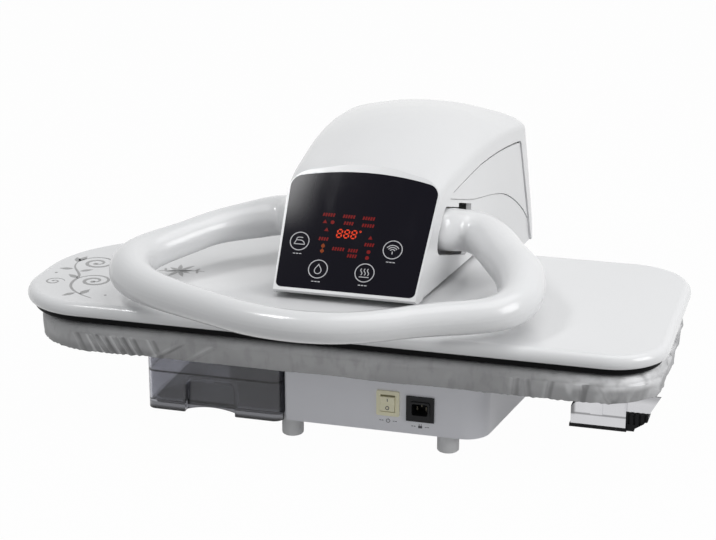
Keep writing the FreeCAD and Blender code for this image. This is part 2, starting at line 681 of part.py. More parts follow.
def bed_posts():
    """Posts between the housing and the pan of the bed."""
    return [rod(x, y, BASE_TOP, POST_D / 2, PAN_Z - BASE_TOP, V(0, 0, 1)) for x, y in bed_post_places()]


def bed_pan():
    """Pressed steel pan under the padding with an upturned edge."""
    pan = level(bed_outline(), PAN_Z, PAN_Z + 7, -COVER_T)
    return pan.cut(level(bed_outline(), PAN_Z + PAN_T, PAN_Z + 8, -COVER_T - PAN_T))


def bed_foam():
    """Foam padding in the pan."""
    low = level(bed_outline(), PAN_Z + PAN_T, PAN_Z + 7, -COVER_T - PAN_T)
    return low.fuse(cushion(COVER_T, PAN_Z + 7, BED_TOP - COVER_T, BED_EDGE_R - COVER_T)).removeSplitter()


def bed_cover():
    """Cloth cover drawn over the padding and tucked under the pan."""
    skin = cushion(0.0, HEM_Z, BED_TOP, BED_EDGE_R)
    skin = skin.cut(cushion(COVER_T, PAN_Z, BED_TOP - COVER_T, BED_EDGE_R - COVER_T))
    return skin.cut(level(bed_outline(), HEM_Z - 1, PAN_Z + 1, -HEM_TUCK))


def runner_lines():
    """Y of the two runners of the iron rest."""
    return (REST_Y0 + RAIL_INSET, REST_Y1 - RAIL_INSET)


def rest_rails():
    """Channel rails of the iron rest under the pan, slotted below."""
    rails = []
    for y in runner_lines():
        rail = block(RAIL_X0, RAIL_X1, y - RAIL_HALF, y + RAIL_HALF, RAIL_BOTTOM, PAN_Z)
        inner = RAIL_HALF - RAIL_T
        hollow = block(RAIL_X0 - 1, RAIL_X1 + 1, y - inner, y + inner, RAIL_BOTTOM + RAIL_T, PAN_Z - RAIL_T)
        slot = block(RAIL_X0 - 1, RAIL_X1 + 1, y - RAIL_SLOT / 2, y + RAIL_SLOT / 2, RAIL_BOTTOM - 1,
                     RAIL_BOTTOM + RAIL_T + 1)
        rails.append(rail.cut(hollow).cut(slot))
    return rails


def rest_runner(y, wall):
    """Runner in one rail with the shelf that joins it to a cheek of the tray."""
    bottom = RAIL_BOTTOM + RAIL_T + SLIP_GAP
    wide = RAIL_HALF - RAIL_T - 1.0
    shoe = block(RUNNER_X0, REST_X1, y - wide, y + wide, bottom, bottom + SHOE_T)
    stem = block(RUNNER_X0, REST_X1, y - RUNNER_T / 2, y + RUNNER_T / 2, REST_TOP - REST_T, bottom + 1)
    low, high = sorted((wall, y))
    shelf = block(REST_X0 + REST_CHAMFER, REST_X1, low, high, REST_TOP - REST_T, REST_TOP)
    return shoe.fuse(stem).fuse(shelf)


def rest_cheek(y):
    """Upright sheet of the tray with a cut upper left corner."""
    sheet = [(REST_X0, REST_Z, 0), (REST_X1, REST_Z, 0), (REST_X1, REST_TOP, 0),
             (REST_X0 + REST_CHAMFER, REST_TOP, 2), (REST_X0, REST_TOP - REST_CHAMFER, 2)]
    return along(sheet, y, y + REST_T)


def rest_wing():
    """Sheet that runs on to the right of the tray with a slanted end."""
    y = REST_Y0 + WING_BACK
    sheet = [(REST_X1 - REST_T, WING_LOW, 0), (WING_X0, WING_LOW, 1), (WING_X1, REST_TOP, 0),
             (REST_X1 - REST_T, REST_TOP, 0)]
    return along(sheet, y, y + REST_T)


def iron_rest():
    """Folded sheet tray that hangs from two runners in the rails."""
    tray = block(REST_X0, REST_X1, REST_Y0, REST_Y1, REST_Z, REST_Z + REST_T)
    tray = tray.fuse(rest_cheek(REST_Y0)).fuse(rest_cheek(REST_Y1 - REST_T))
    tray = tray.fuse(block(REST_X0, REST_X0 + REST_T, REST_Y0, REST_Y1, REST_Z, REST_Z + REST_LIP))
    tray = tray.fuse(block(REST_X1 - REST_T, REST_X1, REST_Y0, REST_Y1, REST_Z, REST_TOP))
    tray = tray.fuse(rest_wing())
    middle = (REST_X0 + REST_X1) / 2 + 5
    for x0, x1, z in ((REST_X0 + 19, middle - 0.8, WING_LOW - 4), (middle + 0.8, REST_X1 - 1, WING_LOW - 1)):
        tray = tray.fuse(block(x0, x1, REST_Y0 - EMBOSS, REST_Y0, z, REST_TOP))
    for y, wall in zip(runner_lines(), (REST_Y0, REST_Y1)):
        tray = tray.fuse(rest_runner(y, wall))
    return tray.removeSplitter()


def rest_mat():
    """Black heat-proof base under the tray with a ribbed grip at its right end."""
    mat = block(REST_X0 - 1, REST_X1 + 1, REST_Y0 - 1, REST_Y1 + 1, REST_Z - MAT_T, REST_Z)
    mat = mat.cut(block(REST_X0 + 10, REST_X1 - 10, REST_Y0 + 10, REST_Y1 - 10, REST_Z - MAT_T - 1,
                        REST_Z - 1))
    y0 = REST_Y0 + 2
    y1 = y0 + GRIP_DEEP
    x0, x1, low, top = REST_X1 + SLIP_GAP, WING_X0 - 1, REST_Z - MAT_T + 2, WING_LOW - 1
    grip = along([(x0, low, 0), (x0 + 7, low, 2), (x1, low + GRIP_RISE, 2), (x1, top, 0), (x0, top, 0)], y0, y1)
    pitch = (WING_X0 - 1 - REST_X1) / GRIP_RIBS
    for i in range(GRIP_RIBS):
        x = REST_X1 + (i + 0.5) * pitch
        grip = grip.cut(block(x - 1, x + 1, y0 - 1, y0 + 2, REST_Z + 4, WING_LOW))
    foot = block(REST_X1 - 4, REST_X1 + 8, y0, y1, REST_Z - MAT_T, REST_Z - MAT_T + 2)
    return mat.fuse(grip).fuse(foot).removeSplitter()


def bracket_holes():
    """Plan places of the screws of the hinge bracket."""
    return [(x, y) for x in (-72, 72) for y in (HINGE_Y - 20, HINGE_Y + 20)]


def hinge_bracket():
    """Bent steel bracket: foot plate and two ears around the shaft."""
    foot = block(-80, 80, HINGE_Y - 30, HINGE_Y + 30, REAR_TOP, REAR_TOP + BRACKET_T)
    foot = soften(foot, 6.0, upright)
    ear = [(HINGE_Y - 26, REAR_TOP, 0), (HINGE_Y + 26, REAR_TOP, 0), (HINGE_Y + 15, HINGE_Z + 15, 14),
           (HINGE_Y - 15, HINGE_Z + 15, 14)]
    body = foot
    for x in (-BRACKET_X - BRACKET_T, BRACKET_X):
        body = body.fuse(across(ear, x, x + BRACKET_T))
    body = body.cut(rod_x(-100, 100, HINGE_Y, HINGE_Z, SHAFT_R))
    for x, y in bracket_holes():
        body = body.cut(rod(x, y, REAR_TOP - 1, SCREW_D / 2, BRACKET_T + 2, V(0, 0, 1)))
    return body


def bracket_screws():
    """Screws of the hinge bracket."""
    return [screw(x, y, REAR_TOP + BRACKET_T, V(0, 0, 1), BRACKET_T + WALL + 4) for x, y in bracket_holes()]


def hinge_shaft():
    """Hinge shaft with grooves for its clips."""
    end = BRACKET_X + BRACKET_T + 8
    shaft = rod_x(-end, end, HINGE_Y, HINGE_Z, SHAFT_R)
    for x in (-end + 4, end - 5):
        shaft = shaft.cut(ring_x(x, x + 1, HINGE_Y, HINGE_Z, SHAFT_R + 1, SHAFT_R - 1))
    return shaft


def shaft_clips():
    """Spring clips in the grooves of the shaft."""
    end = BRACKET_X + BRACKET_T + 8
    clips = []
    for x in (-end + 4, end - 5):
        clip = ring_x(x, x + 1, HINGE_Y, HINGE_Z, SHAFT_R + 4, SHAFT_R - 1)
        clips.append(clip.cut(block(x - 1, x + 2, HINGE_Y - 3, HINGE_Y + 3, HINGE_Z - 20, HINGE_Z)))
    return clips


def spring_sleeves():
    """Sleeves that carry the springs on the shaft."""
    inner = SPRING_R - SPRING_WIRE
    return [ring_x(x, x + SPRING_X1 - SPRING_X0, HINGE_Y, HINGE_Z, inner, SHAFT_R)
            for x in (-SPRING_X1, SPRING_X0)]


def lift_springs():
    """Torsion springs that help to raise the head, each with a leg on the bracket."""
    springs = []
    pitch = (SPRING_X1 - SPRING_X0 - 2 * SPRING_WIRE) / SPRING_TURNS
    thick = SPRING_WIRE - SPRING_PLAY
    for side in (-1, 1):
        helix = Part.makeHelix(pitch, pitch * SPRING_TURNS, SPRING_R)
        path = Part.Wire(helix.Edges)
        slope = V(0, 1, pitch / (2 * math.pi) / SPRING_R)
        ring = Part.Wire(Part.makeCircle(thick, V(SPRING_R, 0, 0), slope))
        coil = path.makePipeShell([ring], True, True)
        coil.rotate(V(0, 0, 0), V(0, 1, 0), 90)
        start = SPRING_X0 + SPRING_WIRE if side > 0 else -SPRING_X1 + SPRING_WIRE
        coil.translate(V(start, HINGE_Y, HINGE_Z))
        tail = rod(start, HINGE_Y + SPRING_WIRE, REAR_TOP + BRACKET_T, thick,
                   HINGE_Z - SPRING_R - REAR_TOP - BRACKET_T, V(0, 0, 1))
        springs.append(coil.fuse(tail))
    return springs


def plate_outline():
    """Plan of the heated plate with its one-sided nose."""
    return [(PLATE_LEFT, PLATE_FRONT, 75), (PLATE_RIGHT, PLATE_FRONT, 55), (PLATE_RIGHT, PLATE_BACK, 65),
            (PLATE_LEFT + 125, PLATE_BACK, 90), (PLATE_LEFT, PLATE_BACK - 125, 125)]


def post_places():
    """Plan places of the posts between plate and arm."""
    return [(x, y) for x in (-POST_X, POST_X) for y in (POST_Y0, POST_Y1)]


def steam_hole_places():
    """Plan places of the steam holes in the soleplate."""
    places = []
    for i in range(27):
        x = -250 + i * 20.0
        for y in (-175.0, -77.0, 21.0):
            if x < -180 and y > 0:
                continue
            places.append((x, y))
    return places


def soleplate():
    """Dark coated plate with its steam holes."""
    plate = level(plate_outline(), SOLE_Z, SOLE_TOP, -SOLE_INSET)
    plate = soften(plate, 2.5, at_height(SOLE_Z))
    holes = [rod(x, y, SOLE_Z - 1, STEAM_HOLE_D / 2, 20, V(0, 0, 1)) for x, y in steam_hole_places()]
    return plate.cut(Part.makeCompound(holes))


def plate_cover():
    """Glossy white cover of the plate, pierced for the posts and the steam inlet."""
    cover = soften(level(plate_outline(), SOLE_TOP, PLATE_TOP), PLATE_EDGE_R, at_height(PLATE_TOP))
    cover = soften(cover, PLATE_UNDER_R, at_height(SOLE_TOP))
    inner = level(plate_outline(), SOLE_TOP - 1, PLATE_TOP - PLATE_WALL, -PLATE_UNDER_R - PLATE_WALL)
    cover = cover.cut(soften(inner, PLATE_EDGE_R - PLATE_WALL, at_height(PLATE_TOP - PLATE_WALL)))
    for x, y in post_places():
        cover = cover.cut(rod(x, y, PLATE_TOP - 10, POST_R + 1, 20, V(0, 0, 1)))
    return cover.cut(rod(0, 0, PLATE_TOP - 10, HOSE_R + 1.5, 20, V(0, 0, 1)))


def plate_posts():
    """Posts that hang the plate from the arm."""
    return [rod(x, y, SOLE_TOP, POST_R, WEB_Z - SOLE_TOP, V(0, 0, 1)).cut(
        rod(x, y, WEB_Z - 10, SCREW_D / 2, 20, V(0, 0, 1))) for x, y in post_places()]


def post_screws():
    """Screws through the arm into the posts."""
    return [screw(x, y, WEB_Z + ARM_T, V(0, 0, 1), ARM_T + 8) for x, y in post_places()]


def heating_element():
    """Sheathed heating tube bent in a loop on the soleplate."""
    run = [(-262, -168, 40), (272, -168, 40), (272, 14, 40), (-205, 14, 60), (-262, -50, 50)]
    loop = rounded_wire(run, xy(SOLE_TOP + ELEMENT_R))
    cutter = block(-30, 30, 0, 30, SOLE_TOP - 5, SOLE_TOP + 10)
    path = Part.Wire(Part.__sortEdges__(loop.cut(cutter).Edges))
    first = path.OrderedEdges[0]
    start = path.OrderedVertexes[0].Point
    tangent = first.tangentAt(first.FirstParameter)
    ring = Part.Wire(Part.makeCircle(ELEMENT_R - SPRING_PLAY, start, tangent))
    return path.makePipeShell([ring], True, True)


def steam_chamber():
    """Cast steam chamber on the soleplate with its water inlet."""
    x0, x1, y0, y1 = CHAMBER
    body = soften(block(x0, x1, y0, y1, SOLE_TOP, CHAMBER_TOP), 6.0, upright)
    inlet = rod(0, 0, CHAMBER_TOP - 1, INLET_R, INLET_H + 1, V(0, 0, 1))
    return body.fuse(inlet)


def thermostat():
    """Round thermostat on the soleplate."""
    body = rod(100, -70, SOLE_TOP, 10, 2, V(0, 0, 1)).fuse(rod(100, -70, SOLE_TOP, 8, 6, V(0, 0, 1)))
    return body


def thermal_fuse():
    """Thermal cut-out under its clip on the soleplate."""
    clip = block(-112, -88, -76, -64, SOLE_TOP, SOLE_TOP + 1)
    return clip.fuse(rod_x(-116, -84, -70, SOLE_TOP + 3, 2.5))


def insulation_sheet():
    """Insulation between the heated parts and the cover."""
    sheet = level(plate_outline(), CHAMBER_TOP, CHAMBER_TOP + 3, -12)
    for x, y in post_places():
        sheet = sheet.cut(rod(x, y, CHAMBER_TOP - 1, POST_R + 1, 10, V(0, 0, 1)))
    return sheet.cut(rod(0, 0, CHAMBER_TOP - 1, INLET_R + 0.5, 10, V(0, 0, 1)))


def arm_frame():
    """Steel arm: two side plates with a mounting web and a tie."""
    side = [(-62, WEB_Z, 0), (-62, 176, 12), (70, ARM_TOP, 20), (160, ARM_TOP, 20), (169, 160, 20),
            (169, HINGE_Z - 19, 18.5), (131, HINGE_Z - 19, 18.5), (131, 144, 12), (86, WEB_Z, 6)]
    arm = across(side, -ARM_X - ARM_T, -ARM_X).fuse(across(side, ARM_X, ARM_X + ARM_T))
    arm = arm.fuse(block(-ARM_X, ARM_X, -62, 70, WEB_Z, WEB_Z + ARM_T))
    arm = arm.fuse(block(-ARM_X, ARM_X, TIE_Y0, TIE_Y1, ARM_TOP - ARM_T, ARM_TOP))
    arm = arm.cut(rod_x(-60, 60, HINGE_Y, HINGE_Z, SHAFT_R + BUSH_T))
    arm = arm.cut(rod_x(-60, 60, PIVOT_Y, PIVOT_Z, PIVOT_R + BUSH_T))
    arm = arm.cut(rod(0, 0, WEB_Z - 5, HOSE_R + 1.5, 20, V(0, 0, 1)))
    for x, y in post_places():
        arm = arm.cut(rod(x, y, WEB_Z - 5, SCREW_D / 2, 20, V(0, 0, 1)))
    return arm.removeSplitter()


def flanged_bushes(y, z, radius):
    """Pair of flanged bushes in the side plates of the arm."""
    bushes = []
    for side in (-1, 1):
        x0, x1 = sorted((side * ARM_X, side * (ARM_X + ARM_T)))
        f0, f1 = sorted((side * (ARM_X + ARM_T), side * (ARM_X + ARM_T + 2)))
        tube = rod_x(x0, x1, y, z, radius + BUSH_T).fuse(rod_x(f0, f1, y, z, radius + BUSH_T + 3))
        bushes.append(tube.cut(rod_x(x0 - 9, x1 + 9, y, z, radius + RUN_FIT)))
    return bushes


def hinge_bushes():
    """Bushes of the head on the hinge shaft."""
    return flanged_bushes(HINGE_Y, HINGE_Z, SHAFT_R)


def pivot_bushes():
    """Bushes of the handle shaft."""
    return flanged_bushes(PIVOT_Y, PIVOT_Z, PIVOT_R)


def steam_hose():
    """Hose from the joiner on the arm to the steam chamber."""
    top = CHAMBER_TOP + INLET_H - 3
    hose = bent_pipe([(0, 0, top - 4), (0, 0, STEAM_HOSE_Z), (HOSE_X, JOINER_Y, STEAM_HOSE_Z),
                      (HOSE_X, JOINER_Y, JOINER_Z + SLIP_GAP)], HOSE_R, STEAM_BEND)
    return hose.cut(rod(0, 0, CHAMBER_TOP, INLET_R, INLET_H, V(0, 0, 1)))


def panel_place(shape):
    """Move a shape from the flat plane of the panel to its leaning place."""
    s, c = math.sin(PANEL_LEAN), math.cos(PANEL_LEAN)
    matrix = FreeCAD.Matrix(1, 0, 0, 0, 0, s, -c, PANEL_Y, 0, c, s, PANEL_Z, 0, 0, 0, 1)
    shape.Placement = FreeCAD.Placement(matrix)
    return shape


def panel_slab(grow, n0, n1):
    """Slab over the outline of the panel, with an arched top edge."""
    low, top = PANEL_LOW_HALF + grow, PANEL_TOP_HALF + grow
    base, side, mid = -grow, PANEL_SIDE + grow, PANEL_MID + grow
    arch = Part.Arc(V(top, side, n0), V(0, mid, n0), V(-top, side, n0)).toShape()
    edges = [Part.makeLine(V(-low, base, n0), V(low, base, n0)),
             Part.makeLine(V(low, base, n0), V(top, side, n0)), arch,
             Part.makeLine(V(-top, side, n0), V(-low, base, n0))]
    slab = Part.Face(Part.Wire(edges)).extrude(V(0, 0, n1 - n0))
    slab = soften(slab, PANEL_R + grow, lambda b: upright(b) and b.YMin > base + 1)
    return soften(slab, PANEL_LOW_R + grow, lambda b: upright(b) and b.YMax < base + 1)


def panel_bezel(outer):
    """White front frame of the head with a seat behind the panel."""
    slab = panel_place(block(-200, 200, -BEZEL_W, 300, -BEZEL_DEEP, 0))
    frame = outer.common(slab).cut(panel_place(panel_slab(0.0, -PANEL_T, 20.0)))
    return frame.cut(panel_place(panel_slab(-5.0, -BEZEL_DEEP - 1, 20.0)))


def control_panel():
    """Glossy black touch panel."""
    return panel_place(panel_slab(-0.15, -PANEL_T, 0.0))


def display_module():
    """Number display behind the panel."""
    return panel_place(block(-24, 24, 44, 66, -BEZEL_DEEP - 2, -PANEL_T))


def control_board():
    """Circuit board of the panel."""
    back = -BEZEL_DEEP - 2
    return panel_place(block(-60, 60, 8, 92, back - 1.6, back))


def panel_spacers():
    """Spacers between the panel and its board."""
    back = -BEZEL_DEEP - 2
    return [panel_place(rod(x, up, back, 3, -PANEL_T - back, V(0, 0, 1)))
            for x in (-52, 52) for up in (14, 86)]


def half_width(y, z):
    """Half width of the head at a place along it and a height."""
    draft = max(0.0, min(0.1, (y - PANEL_Y) * 0.0003))
    flare = HEAD_FLARE if y > FLARE_Y else (PANEL_TOP_HALF - PANEL_LOW_HALF) / (FLARE_Y - PANEL_Y)
    return HEAD_HALF + flare * (y - FLARE_Y) + draft * max(0.0, smooth(RIM, y) - z)


def head_section(y, shrink, rounding):
    """Cross-section of the head at y, shrunk all round and rounded towards its rear end."""
    rim = smooth(RIM, y) - shrink - rounding
    crown = smooth(CROWN, y)
    low = 92.0
    foot = half_width(y, low) - shrink - rounding
    side = half_width(y, rim - SHOULDER) - shrink - rounding
    points = [(side, rim - SHOULDER * 1.2), (side - 1.8, rim - SHOULDER * 0.45), (side - SHOULDER, rim + 1.5),
              (side * 0.62, rim + crown * 0.62), (side * 0.3, rim + crown * 0.92), (0.0, rim + crown)]
    points += [(-a, b) for a, b in reversed(points[:-1])]
    curve = Part.BSplineCurve()
    curve.interpolate(Points=[V(a, y, b) for a, b in points])
    first, last = V(points[0][0], y, points[0][1]), V(points[-1][0], y, points[-1][1])
    edges = [Part.makeLine(V(-foot, y, low), V(foot, y, low)), Part.makeLine(V(foot, y, low), first),
             curve.toShape(), Part.makeLine(last, V(-foot, y, low))]
    return Part.Wire(edges)


def head_solid(shrink):
    """Solid of the head, shrunk by a wall, lofted along its length."""
    rear = HEAD_REAR - shrink
    radius = max(REAR_ROUND - shrink, 1.0)
    places = [-165, -130, -100, -78, -55, -30, 0, 40, 80, 120, 160, 200]
    sections = [head_section(y, shrink, 0.0) for y in places]
    for share in (0.0, 0.45, 0.75, 0.92, 1.0):
        drop = radius * (1.0 - math.sqrt(1.0 - share ** 2)) * 0.8
        sections.append(head_section(rear - radius * (1.0 - share), shrink, drop))
    return Part.makeLoft(sections, True, False)


def behind_panel(depth):
    """Everything further behind the panel face than depth."""
    return panel_place(block(-200, 200, -200, 600, -800, -depth))


def head_foot():
    """Everything that lies below the lower edge of the head."""
    step = PLATE_BACK + 8
    edge = [(-300, HEAD_BOTTOM, 0), (step, HEAD_BOTTOM, 6), (step + 6, HEAD_LOW, 8),
            (HEAD_REAR - 14, HEAD_LOW, 4), (HEAD_REAR - 8, HEAD_REAR_BOTTOM, 2),
            (400, HEAD_REAR_BOTTOM, 0), (400, 0, 0), (-300, 0, 0)]
    return across(edge, -300, 300)


def side_window(grow):
    """Opening in the side of the arch cover, grown by an overlap."""
    back = BEZEL_DEEP + 14.0
    s, c = math.sin(PANEL_LEAN), math.cos(PANEL_LEAN)
    low_y, low_z = PANEL_Y + back * c, PANEL_Z - back * s
    corners = [(low_y - 40 * s, low_z - 40 * c, 0), (low_y + 104 * s, low_z + 104 * c, 14)]
    corners += [(y, smooth(RIM, y) - SKIRT, 0) for y in (-30, 0, 30, 60, 90, 120, 150, 180)]
    corners += [(208, smooth(RIM, 208) - SKIRT, 6), (218, 100, 0), (218, 60, 0)]
    wire = rounded_wire(corners, yz(-300))
    if grow:
        wire = wire.makeOffset2D(grow)
    return Part.Face(wire).extrude(V(600, 0, 0))


def arch_cover(outer, inner):
    """Domed top and rear wall of the head with its skirt and two bosses on the tie of the arm."""
    shell = outer.cut(inner).common(behind_panel(BEZEL_DEEP))
    shell = shell.cut(side_window(0.0)).cut(head_foot())
    for y in (TIE_Y0 + 14, TIE_Y1 - 14):
        shell = shell.fuse(rod(0, y, ARM_TOP, 6, 200, V(0, 0, 1)).common(inner))
    return shell


def side_line(high):
    """Everything above (or below) the arched joint between the two side pieces."""
    top = 400 if high else 0
    points = [(-150, 252), (-60, 232), (-39, 226), (37, 205), (90, 195), (145, 180), (175, 165), (207, 141),
              (226, 100)]
    curve = Part.BSplineCurve()
    curve.interpolate([V(-300, y, z) for y, z in points])
    start, end = points[0], points[-1]
    corners = [V(-300, end[0], end[1]), V(-300, 400, end[1]), V(-300, 400, top), V(-300, -400, top),
               V(-300, -400, start[1]), V(-300, start[0], start[1])]
    lines = [Part.makeLine(a, b) for a, b in zip(corners, corners[1:]) if (a - b).Length > 1e-6]
    return Part.Face(Part.Wire([curve.toShape()] + lines)).extrude(V(600, 0, 0))


def half_space(sign):
    """Right or left half of space."""
    return block(0, 300, -400, 400, 0, 400) if sign > 0 else block(-300, 0, -400, 400, 0, 400)


def side_tabs(band, sign):
    """Tabs that join a side piece to the inside of the skirt."""
    tabs = []
    for y in (-20, 60, 140, 190):
        z = smooth(RIM, y) - SKIRT + 3
        tabs.append(rod_x(0, sign * 200, y, z, 2.2) if sign > 0 else rod_x(-200, 0, y, z, 2.2))
    return [tab.common(band) for tab in tabs]


def side_pad(skin, high, sign):
    """Raised face of a side piece inside the skirt, with a groove all round it."""
    line = side_line(high)
    line.translate(V(0, 0, SIDE_SEAM / 4 if high else -SIDE_SEAM / 4))
    pad = skin.common(half_space(sign)).common(side_window(-SIDE_SEAM)).common(line)
    return pad.common(behind_panel(BEZEL_DEEP + 3)).cut(head_foot())


def side_cover(wall, skin, band, sign):
    """Upper side piece of one side with its raised face and its tabs."""
    piece = wall.common(half_space(sign)).common(side_window(6.0)).common(side_line(True))
    piece = piece.common(behind_panel(BEZEL_DEEP + 3)).cut(head_foot())
    piece = piece.fuse(side_pad(skin, True, sign))
    for tab in side_tabs(band, sign):
        piece = piece.fuse(tab)
    return piece


def slot_block(start, end, low, top, radius):
    """Block across the head, set out along and across the tilted root of the handle."""
    tilt = math.radians(-ROOT_TILT)
    corners = []
    for long, high in ((start, low), (end, low), (end, top), (start, top)):
        corners.append((ROOT_Y + long * math.cos(tilt) + high * math.sin(tilt),
                        ROOT_Z - long * math.sin(tilt) + high * math.cos(tilt), radius))
    return across(corners, -300, 300)


def handle_slot():
    """Tilted slot that the handle root moves in, higher at its rear end."""
    end = ROOT_HALF + SLOT_END_GAP
    top = ROOT_HIGH + SLOT_TOP_GAP
    slot = slot_block(-end, end, -ROOT_HIGH - SLOT_LOW_GAP, top, SLOT_R)
    return slot.fuse(slot_block(NOTCH_START, end + 2, 0, top + NOTCH_HIGH, 1.0))


def hinge_cover(wall, skin, sign):
    """Lower side piece of one side with its raised face and the slot of the handle."""
    piece = wall.common(half_space(sign)).common(side_window(6.0)).common(side_line(False))
    piece = piece.common(behind_panel(BEZEL_DEEP + 3)).cut(head_foot())
    return piece.fuse(side_pad(skin, False, sign)).cut(handle_slot())


def handle_ring(wide, high, square):
    """Closed curve of the tube: an oval that fills its corners more as square grows over 2."""
    points = []
    for k in range(RING_POINTS):
        c, d = math.cos(2 * math.pi * k / RING_POINTS), math.sin(2 * math.pi * k / RING_POINTS)
        points.append(V(wide * math.copysign(abs(c) ** (2 / square), c),
                        high * math.copysign(abs(d) ** (2 / square), d), 0))
    curve = Part.BSplineCurve()
    curve.interpolate(points, True)
    return Part.Wire(curve.toShape())


def handle():
    """Looped handle, wide and squarish where it enters the head and tapering along its length."""
    line = Part.BSplineCurve()
    line.interpolate([V(p[0], p[1], p[2]) for p in HANDLE_LINE], False)
    sections = []
    for x, y, z, wide, high, tilt, square in HANDLE_LINE:
        straight = abs(y - ROOT_Y) < 0.01
        t = V(1, 0, 0) if straight else line.tangent(line.parameter(V(x, y, z)))[0]
        side = V(0, 0, 1).cross(t)
        side.normalize()
        up = t.cross(side)
        turn = math.radians(tilt)
        side, up = side * math.cos(turn) + up * math.sin(turn), up * math.cos(turn) - side * math.sin(turn)
        matrix = FreeCAD.Matrix(side.x, up.x, t.x, x, side.y, up.y, t.y, y, side.z, up.z, t.z, z, 0, 0, 0, 1)
        wire = handle_ring(wide, high, square)
        wire.Placement = FreeCAD.Placement(matrix)
        sections.append(wire)
    return Part.makeLoft(sections, True, False)


def handle_levers():
    """Levers inside the head from the ends of the handle to the pivot."""
    long = math.hypot(PIVOT_Y - ROOT_Y, PIVOT_Z - ROOT_Z)
    end, round_r = long + LEVER_HALF, LEVER_HALF - 0.5
    bar = [(-26, -LEVER_HALF, 8), (end, -LEVER_HALF, round_r), (end, LEVER_HALF, round_r),
           (-26, LEVER_HALF, 8)]
    angle = math.degrees(math.atan2(PIVOT_Z - ROOT_Z, PIVOT_Y - ROOT_Y))
    bore = rod_x(-100, 100, PIVOT_Y, PIVOT_Z, PIVOT_R)
    levers = []
    for x in (LEVER_X, -LEVER_X - LEVER_T):
        lever = across(bar, x, x + LEVER_T)
        lever.rotate(V(0, 0, 0), V(1, 0, 0), angle)
        lever.translate(V(0, ROOT_Y, ROOT_Z))
        levers.append(lever.cut(bore))
    return levers


def pivot_shaft():
    """Shaft of the handle across the arm."""
    return rod_x(-LEVER_X - LEVER_T - 3, LEVER_X + LEVER_T + 3, PIVOT_Y, PIVOT_Z, PIVOT_R)


def save(name, shape):
    """Write one node in its final place; a list becomes a group of separate solids."""
    shape = Part.makeCompound(shape) if isinstance(shape, list) else shape.copy()
    shape.translate(V(-ORIGIN_X, -ORIGIN_Y, 0))
    shape.exportStep(os.path.join("parts", name + ".step"))


def main():
    """Build and write every node."""
    os.makedirs("parts", exist_ok=True)
    simple = [base_housing, base_floor, rubber_feet, floor_screws, switch_body, power_rocker, iron_socket,
              socket_contacts, mains_gland, power_board, board_standoffs, board_parts, water_pump,
              pump_bracket, suction_hose, feed_hose, tank_port, hinge_bracket, bracket_screws, hinge_shaft,
              shaft_clips, spring_sleeves, lift_springs, bed_posts, bed_pan, bed_foam, bed_cover, rest_rails,
              iron_rest, rest_mat, water_tank, tank_lid, filler_cap, outlet_seal, soleplate, plate_cover,
              plate_posts, post_screws, heating_element, steam_chamber, thermostat, thermal_fuse, insulation_sheet,
              arm_frame, hinge_bushes, pivot_bushes, steam_hose, control_panel, display_module,
              control_board, panel_spacers, handle, handle_levers, pivot_shaft]
    for maker in simple:
        save(maker.__name__, maker())
    outer, inner = head_solid(0.0), head_solid(SHELL_T)
    save("arch_cover", arch_cover(outer, inner))
    save("panel_bezel", panel_bezel(outer))
    inset, core = head_solid(COVER_INSET), head_solid(COVER_INSET + SHELL_T)
    band = inner.cut(inset)
    lower = head_solid(COVER_INSET - HINGE_COVER_PROUD).cut(core)
    root = head_solid(COVER_INSET + PAD_ROOT)
    side_skin, hinge_skin = head_solid(SIDE_PAD_INSET).cut(root), head_solid(HINGE_PAD_INSET).cut(root)
    for sign, side in ((-1, "left"), (1, "right")):
        save("side_cover_" + side, side_cover(inset.cut(core), side_skin, band, sign))
        save("hinge_cover_" + side, hinge_cover(lower, hinge_skin, sign))


main()
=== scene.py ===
import json
import logging
import math
from dataclasses import dataclass, field
from enum import Enum

import bmesh
import bpy
import numpy as np
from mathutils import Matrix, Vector


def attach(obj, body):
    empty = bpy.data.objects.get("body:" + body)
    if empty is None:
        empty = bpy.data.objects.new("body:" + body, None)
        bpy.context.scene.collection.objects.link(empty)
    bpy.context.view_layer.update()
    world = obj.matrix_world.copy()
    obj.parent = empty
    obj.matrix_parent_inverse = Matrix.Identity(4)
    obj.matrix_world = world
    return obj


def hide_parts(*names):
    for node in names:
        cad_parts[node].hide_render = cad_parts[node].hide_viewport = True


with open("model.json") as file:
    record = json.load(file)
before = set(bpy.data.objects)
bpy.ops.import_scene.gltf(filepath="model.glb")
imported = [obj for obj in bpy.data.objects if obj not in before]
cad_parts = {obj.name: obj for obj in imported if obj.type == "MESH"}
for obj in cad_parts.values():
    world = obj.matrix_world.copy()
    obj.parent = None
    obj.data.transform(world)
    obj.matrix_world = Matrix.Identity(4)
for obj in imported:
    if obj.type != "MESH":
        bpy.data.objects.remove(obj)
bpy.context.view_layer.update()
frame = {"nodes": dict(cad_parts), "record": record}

LOG = logging.getLogger("ironing_press")
MM = 0.001
HEAD_FOOT = np.array([0.00425, 0.032, 0.0])
"""Point on the table under the head's centre line that sizes below are measured from."""

RGB = tuple[float, float, float]
Point = tuple[float, float, float]
Pair = tuple[float, float]
Sockets = dict[int | str, object]
EVEN: Point = (1.0, 1.0, 1.0)
WHITE: RGB = (1.0, 1.0, 1.0)
GOLDEN = 0.618
CURVE_STEPS = 40


class Axis(Enum):
    """Direction that a metal was drawn or brushed along, as the stretch of its lines."""

    X = (1.0, 30.0, 30.0)
    Y = (30.0, 1.0, 30.0)
    Z = (30.0, 30.0, 1.0)


class Body(Enum):
    """Rigid bodies of the press that new pieces ride on."""

    BASE = "base"
    HEAD = "head"
    ROCKER = "power_rocker"


